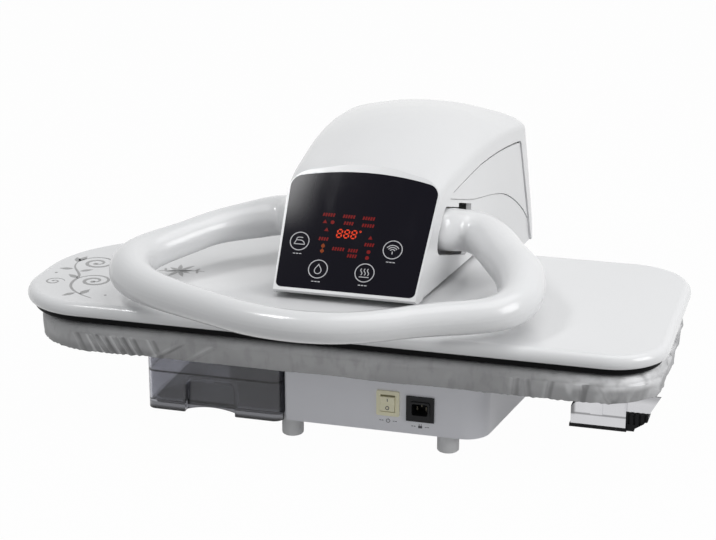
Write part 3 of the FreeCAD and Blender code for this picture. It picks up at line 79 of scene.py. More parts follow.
class Sock:
    """A node's output that Python operators turn into Math nodes."""

    def __init__(self, graph: "Graph", socket: bpy.types.NodeSocket) -> None:
        """Keep the graph and its output socket."""
        self.graph = graph
        self.socket = socket

    def _math(self, operation: str, first: "Value", second: "Value" = 0.0) -> "Sock":
        """Result of one Math node."""
        return self.graph.value("ShaderNodeMath", {0: first, 1: second}, operation=operation)

    def __add__(self, other: "Value") -> "Sock":
        """Sum of two values."""
        return self._math("ADD", self, other)

    __radd__ = __add__

    def __sub__(self, other: "Value") -> "Sock":
        """Difference of two values."""
        return self._math("SUBTRACT", self, other)

    def __rsub__(self, other: "Value") -> "Sock":
        """Difference with a number on the left."""
        return self._math("SUBTRACT", other, self)

    def __mul__(self, other: "Value") -> "Sock":
        """Product of two values."""
        return self._math("MULTIPLY", self, other)

    def sine(self) -> "Sock":
        """Sine of the value."""
        return self._math("SINE", self)

    def absolute(self) -> "Sock":
        """Distance of the value from zero."""
        return self._math("ABSOLUTE", self)

    def band(self, low: float, high: float) -> "Sock":
        """Smooth step from 0 at low to 1 at high, which may be the lesser of the two."""
        sockets = {"Value": self, "From Min": low, "From Max": high}
        return self.graph.value("ShaderNodeMapRange", sockets, interpolation_type="SMOOTHSTEP")


Value = Sock | float


def shade(colour: RGB, factor: float) -> RGB:
    """Colour made lighter or darker, at most 1 in each channel."""
    return tuple(min(1.0, channel * factor) for channel in colour)


class Graph:
    """Node tree of one material or of the surroundings."""

    def __init__(self, owner: bpy.types.Material | bpy.types.World) -> None:
        """Start an empty tree.

        Args:
            owner: The material or the world that holds the tree.
        """
        owner.use_nodes = True
        self.owner = owner
        self.tree = owner.node_tree
        self.tree.nodes.clear()

    def node(self, kind: str, sockets: Sockets | None = None, **settings: object) -> bpy.types.Node:
        """Add any node.

        Args:
            kind: Type of the node.
            sockets: Values or links of its inputs by name or number.
            **settings: Properties that are set first.

        Returns:
            The new node.
        """
        made = self.tree.nodes.new(kind)
        for key, setting in settings.items():
            setattr(made, key, setting)
        for key, given in (sockets or {}).items():
            if isinstance(given, Sock):
                self.tree.links.new(given.socket, made.inputs[key])
            else:
                made.inputs[key].default_value = given
        return made

    def value(self, kind: str, sockets: Sockets | None = None, output: int | str = 0,
              **settings: object) -> Sock:
        """One output of a new node."""
        return Sock(self, self.node(kind, sockets, **settings).outputs[output])

    def place(self, stretch: Point = EVEN) -> Sock:
        """Object coordinates with a factor on each axis."""
        where = self.value("ShaderNodeTexCoord", output="Object")
        return self.value("ShaderNodeMapping", {"Vector": where, "Scale": stretch})

    def parts(self, where: Sock) -> list[Sock]:
        """X, Y and Z of a vector."""
        node = self.node("ShaderNodeSeparateXYZ", {0: where})
        return [Sock(self, output) for output in node.outputs]

    def noise(self, scale: float, detail: float = 2.0, stretch: Point = EVEN) -> Sock:
        """Soft noise from 0 to 1, by grains per metre, number of finer layers and factor on each axis."""
        sockets = {"Vector": self.place(stretch), "Scale": scale, "Detail": detail}
        return self.value("ShaderNodeTexNoise", sockets)

    def cells(self, scale: float) -> Sock:
        """Distance to the nearest of scattered points, by their number per metre."""
        return self.value("ShaderNodeTexVoronoi", {"Vector": self.place(), "Scale": scale}, "Distance")

    def mix(self, share: Value, first: RGB | Sock, second: RGB | Sock) -> Sock:
        """Blend of two colours, the first at share 0 and the second at share 1."""
        ends = [colour if isinstance(colour, Sock) else (*colour, 1.0) for colour in (first, second)]
        return self.value("ShaderNodeMix", {0: share, 6: ends[0], 7: ends[1]}, 2, data_type="RGBA")

    def shades(self, share: Value, colour: RGB, low: float, high: float) -> Sock:
        """Blend of two shades of one colour."""
        return self.mix(share, shade(colour, low), shade(colour, high))

    def layers(self, tone: Sock, *coats: tuple[Value, RGB]) -> Sock:
        """Colour under coats that are laid one after the other.

        Args:
            tone: The colour below.
            *coats: Share and colour of each coat.

        Returns:
            The colour that is seen.
        """
        for share, colour in coats:
            tone = self.mix(share, tone, colour)
        return tone

    def bump(self, height: Sock, depth: float, strength: float = 1.0) -> Sock:
        """Normal that a height gives, with the depth of height 1 in metres."""
        return self.value("ShaderNodeBump", {"Strength": strength, "Distance": depth, "Height": height})


class Finish:
    """Look of a piece, as the inputs of one principled shader."""

    def shader(self, g: Graph) -> Sockets:
        """Inputs of the shader, with their nodes made in an empty tree."""
        raise NotImplementedError

    def build(self, name: str) -> bpy.types.Material:
        """Make the material.

        Args:
            name: Name of the material.

        Returns:
            The material.
        """
        g = Graph(bpy.data.materials.new(name))
        shader = g.value("ShaderNodeBsdfPrincipled", self.shader(g))
        g.node("ShaderNodeOutputMaterial", {0: shader})
        return g.owner


@dataclass(frozen=True)
class Moulded(Finish):
    """Moulded plastic, rubber, paint or print."""

    colour: RGB
    rough: float
    coat: float = 0.0
    cloud: float = 0.02
    grain: float = 900.0
    depth: float = 0.00002
    specular: float = 0.5
    fleck: float = 0.0

    def shader(self, g: Graph) -> Sockets:
        """Cloudy tone, pale flecks, faint handling marks and moulding grain.

        Args:
            g: Empty tree.

        Returns:
            Inputs of the shader.
        """
        tone = g.shades(g.noise(11.0, 3.0), self.colour, 1.0 - self.cloud, 1.0 + self.cloud)
        if self.fleck:
            spots = g.cells(self.grain * 0.5).band(0.22, 0.12) * g.noise(70.0).band(0.45, 0.7)
            tone = g.mix(spots * self.fleck, tone, shade(self.colour, 2.5))
        rubs = g.noise(120.0, 4.0, (1.0, 4.0, 2.5)).band(0.56, 0.72)
        rough = self.rough + g.noise(26.0, 3.0) * 0.03 + rubs * 0.015
        return {"Base Color": tone, "Roughness": rough, "Normal": g.bump(g.noise(self.grain), self.depth),
                "Coat Weight": self.coat, "Coat Roughness": 0.06, "Specular IOR Level": self.specular}


@dataclass(frozen=True)
class Smoked(Finish):
    """Clear smoked plastic of the water tank, with heights in metres."""

    tint: RGB
    # Heights of the painted shade on the foot and on the skirt, and of the lid's joint line.
    foot: float = 0.0213
    skirt_shade: float = 0.0278
    joint: float = 0.0610
    soft: float = 0.0004
    joint_line: Pair = (0.0012, 0.0005)
    clear: float = 0.92
    rough: float = 0.03

    def shader(self, g: Graph) -> Sockets:
        """Tinted and faintly streaked, with painted shade on the skirt and a dark painted-shade line along
        the foot, and a dark line at the joint of the lid.

        Args:
            g: Empty tree.

        Returns:
            Inputs of the shader.
        """
        _, _, z = g.parts(g.place())
        # Painted shade: the skirt is darkened and the thin foot under it is almost black.
        skirt_shade = z.band(self.skirt_shade + self.soft, self.skirt_shade - self.soft)
        foot = z.band(self.foot + 2.0 * self.soft, self.foot - self.soft)
        joint = (z - self.joint).absolute().band(*self.joint_line) * 0.8
        tone = g.shades(g.noise(26.0, 3.0, (1.0, 1.0, 0.35)), self.tint, 0.82, 1.18)
        tone = g.layers(tone, (skirt_shade, shade(self.tint, 0.34)), (foot + joint, shade(self.tint, 0.05)))
        streak = g.noise(60.0, 3.0, (0.4, 0.4, 6.0)).band(0.5, 0.8)
        return {"Base Color": tone, "Roughness": self.rough + streak * 0.05, "IOR": 1.46,
                "Transmission Weight": self.clear, "Normal": g.bump(g.noise(45.0, 1.0), 0.00004, 0.5)}


@dataclass(frozen=True)
class Metal(Finish):
    """Bare metal."""

    colour: RGB
    rough: float
    along: Axis = Axis.X
    lines: float = 60.0
    depth: float = 0.000003

    def shader(self, g: Graph) -> Sockets:
        """Drawn lines along one axis and cloudy wear.

        Args:
            g: Empty tree.

        Returns:
            Inputs of the shader.
        """
        drawn = g.noise(self.lines, 3.0, self.along.value)
        wear = g.noise(24.0, 4.0)
        rough = self.rough + drawn * 0.05 + wear.band(0.55, 0.8) * 0.05
        return {"Base Color": g.shades(wear, self.colour, 0.88, 1.08), "Metallic": 1.0, "Roughness": rough,
                "Normal": g.bump(drawn, self.depth)}


@dataclass(frozen=True)
class PressedSheet(Finish):
    """Polished sheet of the iron rest, with painted shade and a painted reflection, with places in metres."""

    colour: RGB
    step: float = 0.0595
    crease_shade: Pair = (0.0016, 0.0004)
    bed_reflection: Pair = (0.0725, 0.0805)
    flange_shade: Pair = (0.2407, 0.2372)
    flange_foot: Pair = (0.056, 0.062)
    rough: float = 0.12

    def shader(self, g: Graph) -> Sockets:
        """Painted shade in the crease of its step and at its left flange, and a painted dark reflection of
        the bed above its shoulder.

        Args:
            g: Empty tree.

        Returns:
            Inputs of the shader.
        """
        x, _, z = g.parts(g.place())
        wear = g.noise(40.0, 4.0)
        # Painted shade in the crease and at the flange, and a painted dark reflection of the bed over the
        # shoulder band.
        crease_shade = (z - self.step).absolute().band(*self.crease_shade) * 0.7
        mirrored = z.band(*self.bed_reflection) * 0.55
        flange_shade = x.band(*self.flange_shade) * z.band(*self.flange_foot) * 0.8
        tone = g.layers(g.shades(wear, self.colour, 0.9, 1.1), (crease_shade, shade(self.colour, 0.25)),
                        (mirrored, shade(self.colour, 0.35)), (flange_shade, shade(self.colour, 0.15)))
        return {"Base Color": tone, "Metallic": 1.0, "Roughness": self.rough + wear * 0.08,
                "Normal": g.bump(g.noise(300.0), 0.000004)}


@dataclass(frozen=True)
class Coated(Finish):
    """Dark non-stick coat of the soleplate."""

    colour: RGB
    rough: float = 0.42

    def shader(self, g: Graph) -> Sockets:
        """Fine sparkle and paler wiped streaks.

        Args:
            g: Empty tree.

        Returns:
            Inputs of the shader.
        """
        sparkle = g.cells(2600.0).band(0.16, 0.06)
        wiped = g.noise(20.0, 4.0, (1.0, 7.0, 1.0)).band(0.5, 0.75)
        tone = g.shades(sparkle * 0.4 + wiped * 0.12, self.colour, 1.0, 4.0)
        return {"Base Color": tone, "Roughness": self.rough + wiped * 0.1, "Specular IOR Level": 0.06,
                "Normal": g.bump(g.noise(1500.0), 0.00003)}


@dataclass(frozen=True)
class Foam(Finish):
    """Open cell foam."""

    colour: RGB

    def shader(self, g: Graph) -> Sockets:
        """Pores of two sizes and a cloudy tone.

        Args:
            g: Empty tree.

        Returns:
            Inputs of the shader.
        """
        pores = g.cells(420.0).band(0.0, 0.55) * 0.7 + g.cells(1100.0).band(0.0, 0.5) * 0.3
        tone = g.shades(pores * g.noise(30.0).band(0.2, 0.9), self.colour, 0.62, 1.0)
        return {"Base Color": tone, "Roughness": 0.95, "Normal": g.bump(pores, 0.0006)}


@dataclass(frozen=True)
class CircuitBoard(Finish):
    """Lacquered circuit board with soldered pads."""

    colour: RGB
    solder: RGB = (0.62, 0.63, 0.62)
    runs_per_metre: float = 160.0

    def shader(self, g: Graph) -> Sockets:
        """Copper runs both ways under the lacquer, and bright pads.

        Args:
            g: Empty tree.

        Returns:
            Inputs of the shader.
        """
        x, y, _ = g.parts(g.place())
        turn = 2.0 * math.pi * self.runs_per_metre
        runs = (x * turn).sine().band(0.2, 0.45) * g.noise(60.0, 0.0).band(0.48, 0.52)
        cross = (y * turn).sine().band(0.3, 0.5) * g.noise(45.0, 0.0).band(0.52, 0.56)
        pads = g.cells(190.0).band(0.2, 0.14)
        tone = g.layers(g.shades(runs * 0.6 + cross * 0.4, self.colour, 1.0, 2.2), (pads, self.solder))
        return {"Base Color": tone, "Roughness": 0.35 - pads * 0.1, "Coat Weight": 0.3,
                "Normal": g.bump(runs + cross, 0.00004)}


@dataclass(frozen=True)
class PressCloth(Finish):
    """Silver coated cotton of the bed's cover, with places in metres."""

    colour: RGB
    pale: RGB
    # Colour of the painted highlights.
    bright: RGB
    pitch: float = 0.0011
    hem: Pair = (0.104, 0.093)
    # Places of the painted shadow on the nose.
    nose: Pair = (-0.285, -0.315)
    nose_side: Pair = (-0.10, -0.20)
    nose_low: Pair = (0.104, 0.096)
    # Places of the painted highlight on the right end.
    end: Pair = (0.20, 0.29)
    end_low: Pair = (0.1035, 0.1105)
    end_top: Pair = (0.1200, 0.1180)

    def shader(self, g: Graph) -> Sockets:
        """Plain weave on the cut map, worn coat, painted shade of crumples, painted shadow on the nose,
        darker towards the hem, painted highlight on the right end, folds given painted highlight and shade by
        slope.

        Args:
            g: Empty tree.

        Returns:
            Inputs of the shader.
        """
        u, v, _ = g.parts(g.value("ShaderNodeUVMap", uv_map="cut"))
        x, _, z = g.parts(g.place())
        fold = g.value("ShaderNodeAttribute", output="Fac", attribute_name="fold")
        turn = 2.0 * math.pi / self.pitch
        weave = (u * turn).sine() * (v * turn).sine() * 0.5 + 0.5
        slub = g.noise(240.0, 3.0, (0.4, 1.0, 1.0))
        worn = g.noise(17.0, 4.0)
        crumple_shade = g.noise(130.0, 5.0, (1.0, 1.0, 0.5)).band(0.52, 0.32)
        shadow = x.band(*self.nose) * 0.5 + z.band(*self.nose_low) * x.band(*self.nose_side) * 0.5
        high = z.band(*self.end_low) * z.band(*self.end_top)
        glint = x.band(*self.end) * g.noise(60.0).band(0.2, 0.55) * high
        # Painted shade of crumples, painted shadow on the nose, painted highlight on the right end, and
        # painted highlight and shade on the two sides of each fold.
        tone = g.layers(g.mix(worn.band(0.35, 0.7), self.colour, self.pale),
                        (crumple_shade * 0.35, shade(self.colour, 0.66)),
                        (shadow, shade(self.colour, 0.5)),
                        (glint, self.bright),
                        (fold.band(0.08, 0.75) * 0.55, self.bright),
                        (fold.band(-0.08, -0.7) * 0.8, shade(self.colour, 0.4)),
                        (weave * 0.22 + slub * 0.12, shade(self.colour, 0.6)),
                        (z.band(*self.hem) * 0.22, shade(self.colour, 0.55)))
        return {"Base Color": tone, "Roughness": 0.46 + weave * 0.10 + worn * 0.08, "Metallic": 0.25,
                "Normal": g.bump(weave * 0.8 + slub * 0.5, 0.00012, 0.7),
                "Sheen Weight": 0.25, "Sheen Roughness": 0.4}


@dataclass(frozen=True)
class Lit(Finish):
    """Lit sign behind the panel."""

    colour: RGB
    strength: float

    def shader(self, g: Graph) -> Sockets:
        """Uneven glow over a dark base."""
        glow = g.shades(g.noise(900.0, 1.0), self.colour, 0.85, 1.0)
        return {"Base Color": (*shade(self.colour, 0.2), 1.0), "Roughness": 0.3, "Specular IOR Level": 0.08,
                "Emission Color": glow, "Emission Strength": self.strength}


@dataclass(frozen=True)
class PanelGlass(Finish):
    """Black lacquered touch panel, with places in metres."""

    colour: RGB
    dust: RGB = (0.12, 0.12, 0.13)
    glossy_side: Pair = (-0.034, -0.072)
    glossy_high: Pair = (0.195, 0.225)

    def shader(self, g: Graph) -> Sockets:
        """Deep blue-black with faint smears and dust, glossier towards its upper left corner.

        Args:
            g: Empty tree.

        Returns:
            Inputs of the shader.
        """
        x, _, z = g.parts(g.place())
        smear = g.noise(55.0, 4.0, (1.0, 0.3, 0.3)).band(0.5, 0.8)
        dust = g.cells(700.0).band(0.10, 0.04) * g.noise(40.0, 1.0).band(0.5, 0.8)
        tone = g.layers(g.shades(g.noise(9.0), self.colour, 0.85, 1.15), (dust * 0.25, self.dust))
        gloss = x.band(*self.glossy_side) * z.band(*self.glossy_high) * 0.45
        return {"Base Color": tone, "Roughness": 0.09 + smear * 0.06, "Specular IOR Level": 0.09,
                "Coat Weight": gloss, "Coat Roughness": 0.16,
                "Normal": g.bump(g.noise(30.0, 1.0), 0.00003, 0.3)}


FINISHES: dict[str, Finish] = {
    "white_gloss": Moulded((0.74, 0.742, 0.748), 0.20, coat=0.25, cloud=0.012, grain=420.0, depth=0.000012),
    "base_white": Moulded((0.88, 0.88, 0.92), 0.36, grain=1500.0, depth=0.00003),
    "foot_grey": Moulded((0.93, 0.93, 0.93), 0.60, cloud=0.06, grain=1600.0, depth=0.00006),
    "dark_rubber": Moulded((0.008, 0.008, 0.009), 0.58, cloud=0.15, grain=1400.0, depth=0.00008,
                           specular=0.15, fleck=0.15),
    "clear_hose": Moulded((0.52, 0.50, 0.46), 0.32, cloud=0.06, grain=600.0, depth=0.00003),
    "smoke": Smoked((0.47, 0.475, 0.52)),
    "cap_grey": Moulded((0.05, 0.05, 0.055), 0.30, cloud=0.08, grain=1100.0, depth=0.00004),
    "panel_black": PanelGlass((0.003, 0.0025, 0.0070)),
    "display_dark": Moulded((0.03, 0.008, 0.008), 0.45, cloud=0.1),
    "cloth": PressCloth((0.34, 0.34, 0.345), (0.41, 0.41, 0.415), (0.80, 0.80, 0.81)),
    "foam": Foam((0.62, 0.56, 0.38)),
    "steel": Metal((0.70, 0.70, 0.72), 0.14, Axis.Y),
    # Painted shade: the handle's levers are black so that the slots in front of them look as dark as the
    # shade inside the head.
    "black_steel": Moulded((0.006, 0.006, 0.007), 0.5, cloud=0.1, depth=0.00003, specular=0.1),
    # Brass of the socket's contacts, darkened as painted shade of the socket's recess.
    "brass_in_painted_shade": Metal((0.10, 0.09, 0.07), 0.45, Axis.Y),
    # The iron rest's sheet, with painted shade and a painted reflection.
    "rest_sheet": PressedSheet((0.62, 0.62, 0.64)),
    "bright_steel": Metal((0.74, 0.74, 0.76), 0.16, lines=160.0),
    "painted_pan": Moulded((0.45, 0.45, 0.46), 0.45, cloud=0.05, grain=1200.0, depth=0.00005, fleck=0.1),
    "coated_plate": Coated((0.003, 0.003, 0.0035)),
    "cast_grey": Metal((0.50, 0.50, 0.51), 0.50, Axis.Z, lines=300.0, depth=0.00008),
    "cream": Moulded((0.98, 0.93, 0.68), 0.34, coat=0.1, cloud=0.03, grain=1300.0, depth=0.00003),
    "black_plastic": Moulded((0.012, 0.012, 0.014), 0.34, cloud=0.12, grain=1700.0, depth=0.00005,
                             specular=0.2, fleck=0.08),
    "board_green": CircuitBoard((0.03, 0.16, 0.07)),
    "components": Moulded((0.05, 0.05, 0.06), 0.40, cloud=0.2, grain=800.0, depth=0.00004),
    "pump_body": Moulded((0.07, 0.07, 0.075), 0.42, cloud=0.15, depth=0.00005),
    "brass": Metal((0.68, 0.50, 0.22), 0.26, lines=200.0),
    "insulation": Moulded((0.70, 0.68, 0.62), 0.85, cloud=0.08, grain=700.0, depth=0.0003),
    "print_pale": Moulded((0.46, 0.46, 0.48), 0.40, cloud=0.08, grain=1200.0),
    "print_grey": Moulded((0.33, 0.33, 0.33), 0.36, cloud=0.18, grain=700.0),
    "print_dark": Moulded((0.06, 0.06, 0.07), 0.42, cloud=0.1),
    "digits": Lit((1.0, 0.065, 0.013), 0.68),
    "signs_red": Lit((0.60, 0.012, 0.010), 0.13),
    "signs_amber": Lit((0.70, 0.12, 0.01), 0.13),
}

SHADED: dict[str, str] = {"socket_contacts": "brass_in_painted_shade", "iron_rest": "rest_sheet"}
# Nodes with a finish of their own instead of their slot's: the socket's contacts as brass darkened by painted
# shade, and the iron rest's sheet with painted shade and a painted reflection.
"""Nodes with a finish of their own instead of their slot's."""


class Palette:
    """Materials by finish name, each made once."""

    def __init__(self) -> None:
        """Start with no materials."""
        self.made: dict[str, bpy.types.Material] = {}

    def dress(self, piece: bpy.types.Object, name: str) -> None:
        """Give a piece one finish, made when first asked for.

        Args:
            piece: The object.
            name: Name of the finish.
        """
        if name not in self.made:
            self.made[name] = FINISHES[name].build(name)
        piece.data.materials.clear()
        piece.data.materials.append(self.made[name])

    def dress_frame(self) -> None:
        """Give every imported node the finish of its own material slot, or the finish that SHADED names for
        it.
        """
        for part in frame["record"]["subparts"]:
            finish = SHADED.get(part["node"], part["material_slot"])
            self.dress(frame["nodes"][part["node"]], finish)
            LOG.info("dressed %s as %s", part["node"], finish)


class Patchwork:
    """Grids of points collected into one mesh."""

    def __init__(self) -> None:
        """Start with no grids."""
        self.points: list[np.ndarray] = []
        self.faces: list[list[int]] = []
        self.count = 0

    def add(self, grid: np.ndarray, wrap_rows: bool = False, wrap_columns: bool = False,
            cap_rows: bool = False) -> None:
        """Add a grid whose neighbours are joined by quads.

        Args:
            grid: Points of shape (rows, columns, 3).
            wrap_rows: Join the last row to the first.
            wrap_columns: Join the last column to the first.
            cap_rows: Close the first and the last row with a face.
        """
        rows, columns = grid.shape[:2]
        index = np.arange(rows * columns).reshape(rows, columns) + self.count
        if wrap_rows:
            index = np.vstack([index, index[:1]])
        if wrap_columns:
            index = np.hstack([index, index[:, :1]])
        quads = np.stack([index[:-1, :-1], index[:-1, 1:], index[1:, 1:], index[1:, :-1]], axis=-1)
        self.faces += quads.reshape(-1, 4).tolist()
        if cap_rows:
            self.faces += [index[0, :columns].tolist(), index[-1, :columns][::-1].tolist()]
        self.points.append(grid.reshape(-1, 3))
        self.count += rows * columns

    def build(self, name: str, smooth: bool = False) -> bpy.types.Object:
        """Make the mesh, with poles merged and faces turned outwards.

        Args:
            name: Name of the piece.
            smooth: Shade the faces smoothly.

        Returns:
            The new object, linked to the scene.
        """
        mesh = bpy.data.meshes.new(name)
        mesh.from_pydata(np.concatenate(self.points) + HEAD_FOOT, [], self.faces)
        work = bmesh.new()
        work.from_mesh(mesh)
        bmesh.ops.remove_doubles(work, verts=work.verts, dist=1e-7)
        bmesh.ops.recalc_face_normals(work, faces=work.faces)
        work.to_mesh(mesh)
        work.free()
        mesh.polygons.foreach_set("use_smooth", np.full(len(mesh.polygons), smooth))
        piece = bpy.data.objects.new(name, mesh)
        bpy.context.scene.collection.objects.link(piece)
        return piece


def arc(centre: Pair, radius: float, start: float, end: float, count: int = 24) -> np.ndarray:
    """Points centre + radius * (cos t, sin t), with t from start to end in degrees."""
    turn = np.radians(np.linspace(start, end, count))
    return np.array(centre) + radius * np.stack([np.cos(turn), np.sin(turn)], axis=1)


def bezier(*points: Pair) -> np.ndarray:
    """Cubic curve from an end by two handles to an end: the sum of Bernstein weights times points."""
    t = np.linspace(0.0, 1.0, CURVE_STEPS)[:, None]
    return np.hstack([(1 - t) ** 3, 3 * t * (1 - t) ** 2, 3 * t ** 2 * (1 - t), t ** 3]) @ np.array(points)


def unit(vectors: np.ndarray) -> np.ndarray:
    """Vectors shortened to length 1."""
    return vectors / np.linalg.norm(vectors, axis=-1, keepdims=True)


def leaf(foot: Pair, angle: float, length: float, wide: float) -> np.ndarray:
    """Outline of a pointed leaf, with half width wide * sin(pi * t ** 0.85) ** 1.2 at share t of its rib.

    Args:
        foot: Foot of the leaf.
        angle: Direction of its rib in degrees.
        length: Length of the rib.
        wide: Half width at the widest place.

    Returns:
        Pairs round the leaf.
    """
    t = np.linspace(0.0, 1.0, 28)
    bulge = wide * np.sin(np.pi * t ** 0.85) ** 1.2
    along = np.concatenate([t, t[::-1][1:-1]]) * length
    across = np.concatenate([bulge, -bulge[::-1][1:-1]])
    c, s = math.cos(math.radians(angle)), math.sin(math.radians(angle))
    return np.stack([foot[0] + along * c - across * s, foot[1] + along * s + across * c], axis=1)


@dataclass(frozen=True)
class Plane:
    """Flat face that marks are printed on, in millimetres."""

    origin: Point
    up: Point
    along: Point = (1.0, 0.0, 0.0)

    def place(self, flat: np.ndarray, lift: float) -> np.ndarray:
        """Points in metres: origin + a * along + b * up + lift * normal.

        Args:
            flat: Pairs (a, b) on the face.
            lift: Height over the face.

        Returns:
            The points in space.
        """
        along, up = np.array(self.along), np.array(self.up)
        level = np.array(self.origin) + lift * np.cross(along, up)
        return (level + flat[..., :1] * along + flat[..., 1:] * up) * MM


@dataclass
class Printer:
    """Draws thin raised marks on a face, in millimetres."""

    palette: Palette
    plane: Plane
    thick: float = 0.12
    sunk: float = 0.05
    patch: Patchwork = field(default_factory=Patchwork)

    def stroke(self, path: np.ndarray, half: np.ndarray | float, closed: bool = False) -> None:
        """Ribbon along a path: at each point p the corners p +- half * side, below and above the face.

        Args:
            path: Pairs along the middle of the ribbon.
            half: Half width, one for all or one for each point.
            closed: Join the end to the start.
        """
        if closed:
            tangent = unit(np.roll(path, -1, axis=0) - np.roll(path, 1, axis=0))
        else:
            tangent = unit(np.gradient(path, axis=0))
        side = np.stack([-tangent[:, 1], tangent[:, 0]], axis=1) * np.broadcast_to(half, len(path))[:, None]
        left, right = path + side, path - side
        corners = ((left, -self.sunk), (left, self.thick), (right, self.thick), (right, -self.sunk))
        grid = np.stack([self.plane.place(*corner) for corner in corners], axis=1)
        self.patch.add(grid, wrap_rows=closed, wrap_columns=True, cap_rows=not closed)

    def bar(self, start: Pair, end: Pair, half: float) -> None:
        """Straight stroke."""
        self.stroke(np.linspace(start, end, 3), half)

    def vine(self, path: np.ndarray, thick: float, thin: float) -> None:
        """Stroke of half width thin + (thick - thin) * sin(pi t) to the power 0.8, thickest in the middle."""
        swell = np.sin(np.pi * np.linspace(0.0, 1.0, len(path))) ** 0.8
        self.stroke(path, thin + (thick - thin) * swell)

    def ring(self, centre: Pair, radius: float, half: float, count: int = 72) -> None:
        """Circle of a given half line width."""
        self.stroke(arc(centre, radius, 0.0, 360.0, count + 1)[:-1], half, closed=True)

    def blob(self, outline: np.ndarray) -> None:
        """Filled shape: rings from its middle to its outline, below and above the face.

        Args:
            outline: Pairs round a shape that is star-shaped about its middle.
        """
        middle = np.broadcast_to(outline.mean(axis=0), outline.shape)
        rings = ((middle, -self.sunk), (outline, -self.sunk), (outline, self.thick), (middle, self.thick))
        self.patch.add(np.stack([self.plane.place(*ring) for ring in rings]), wrap_columns=True)

    def dot(self, centre: Pair, radius: float) -> None:
        """Filled circle."""
        self.blob(arc(centre, radius, 0.0, 345.0))

    def finish(self, name: str, body: Body, finish: str, slot: str) -> None:
        """Make the marks one piece.

        Args:
            name: Name of the piece.
            body: Body that it rides on.
            finish: Name of its finish.
            slot: Material slot of the record that it belongs to; not used.
        """
        piece = self.patch.build(name)
        self.palette.dress(piece, finish)
        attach(piece, body.value)
        LOG.info("printed %s", name)


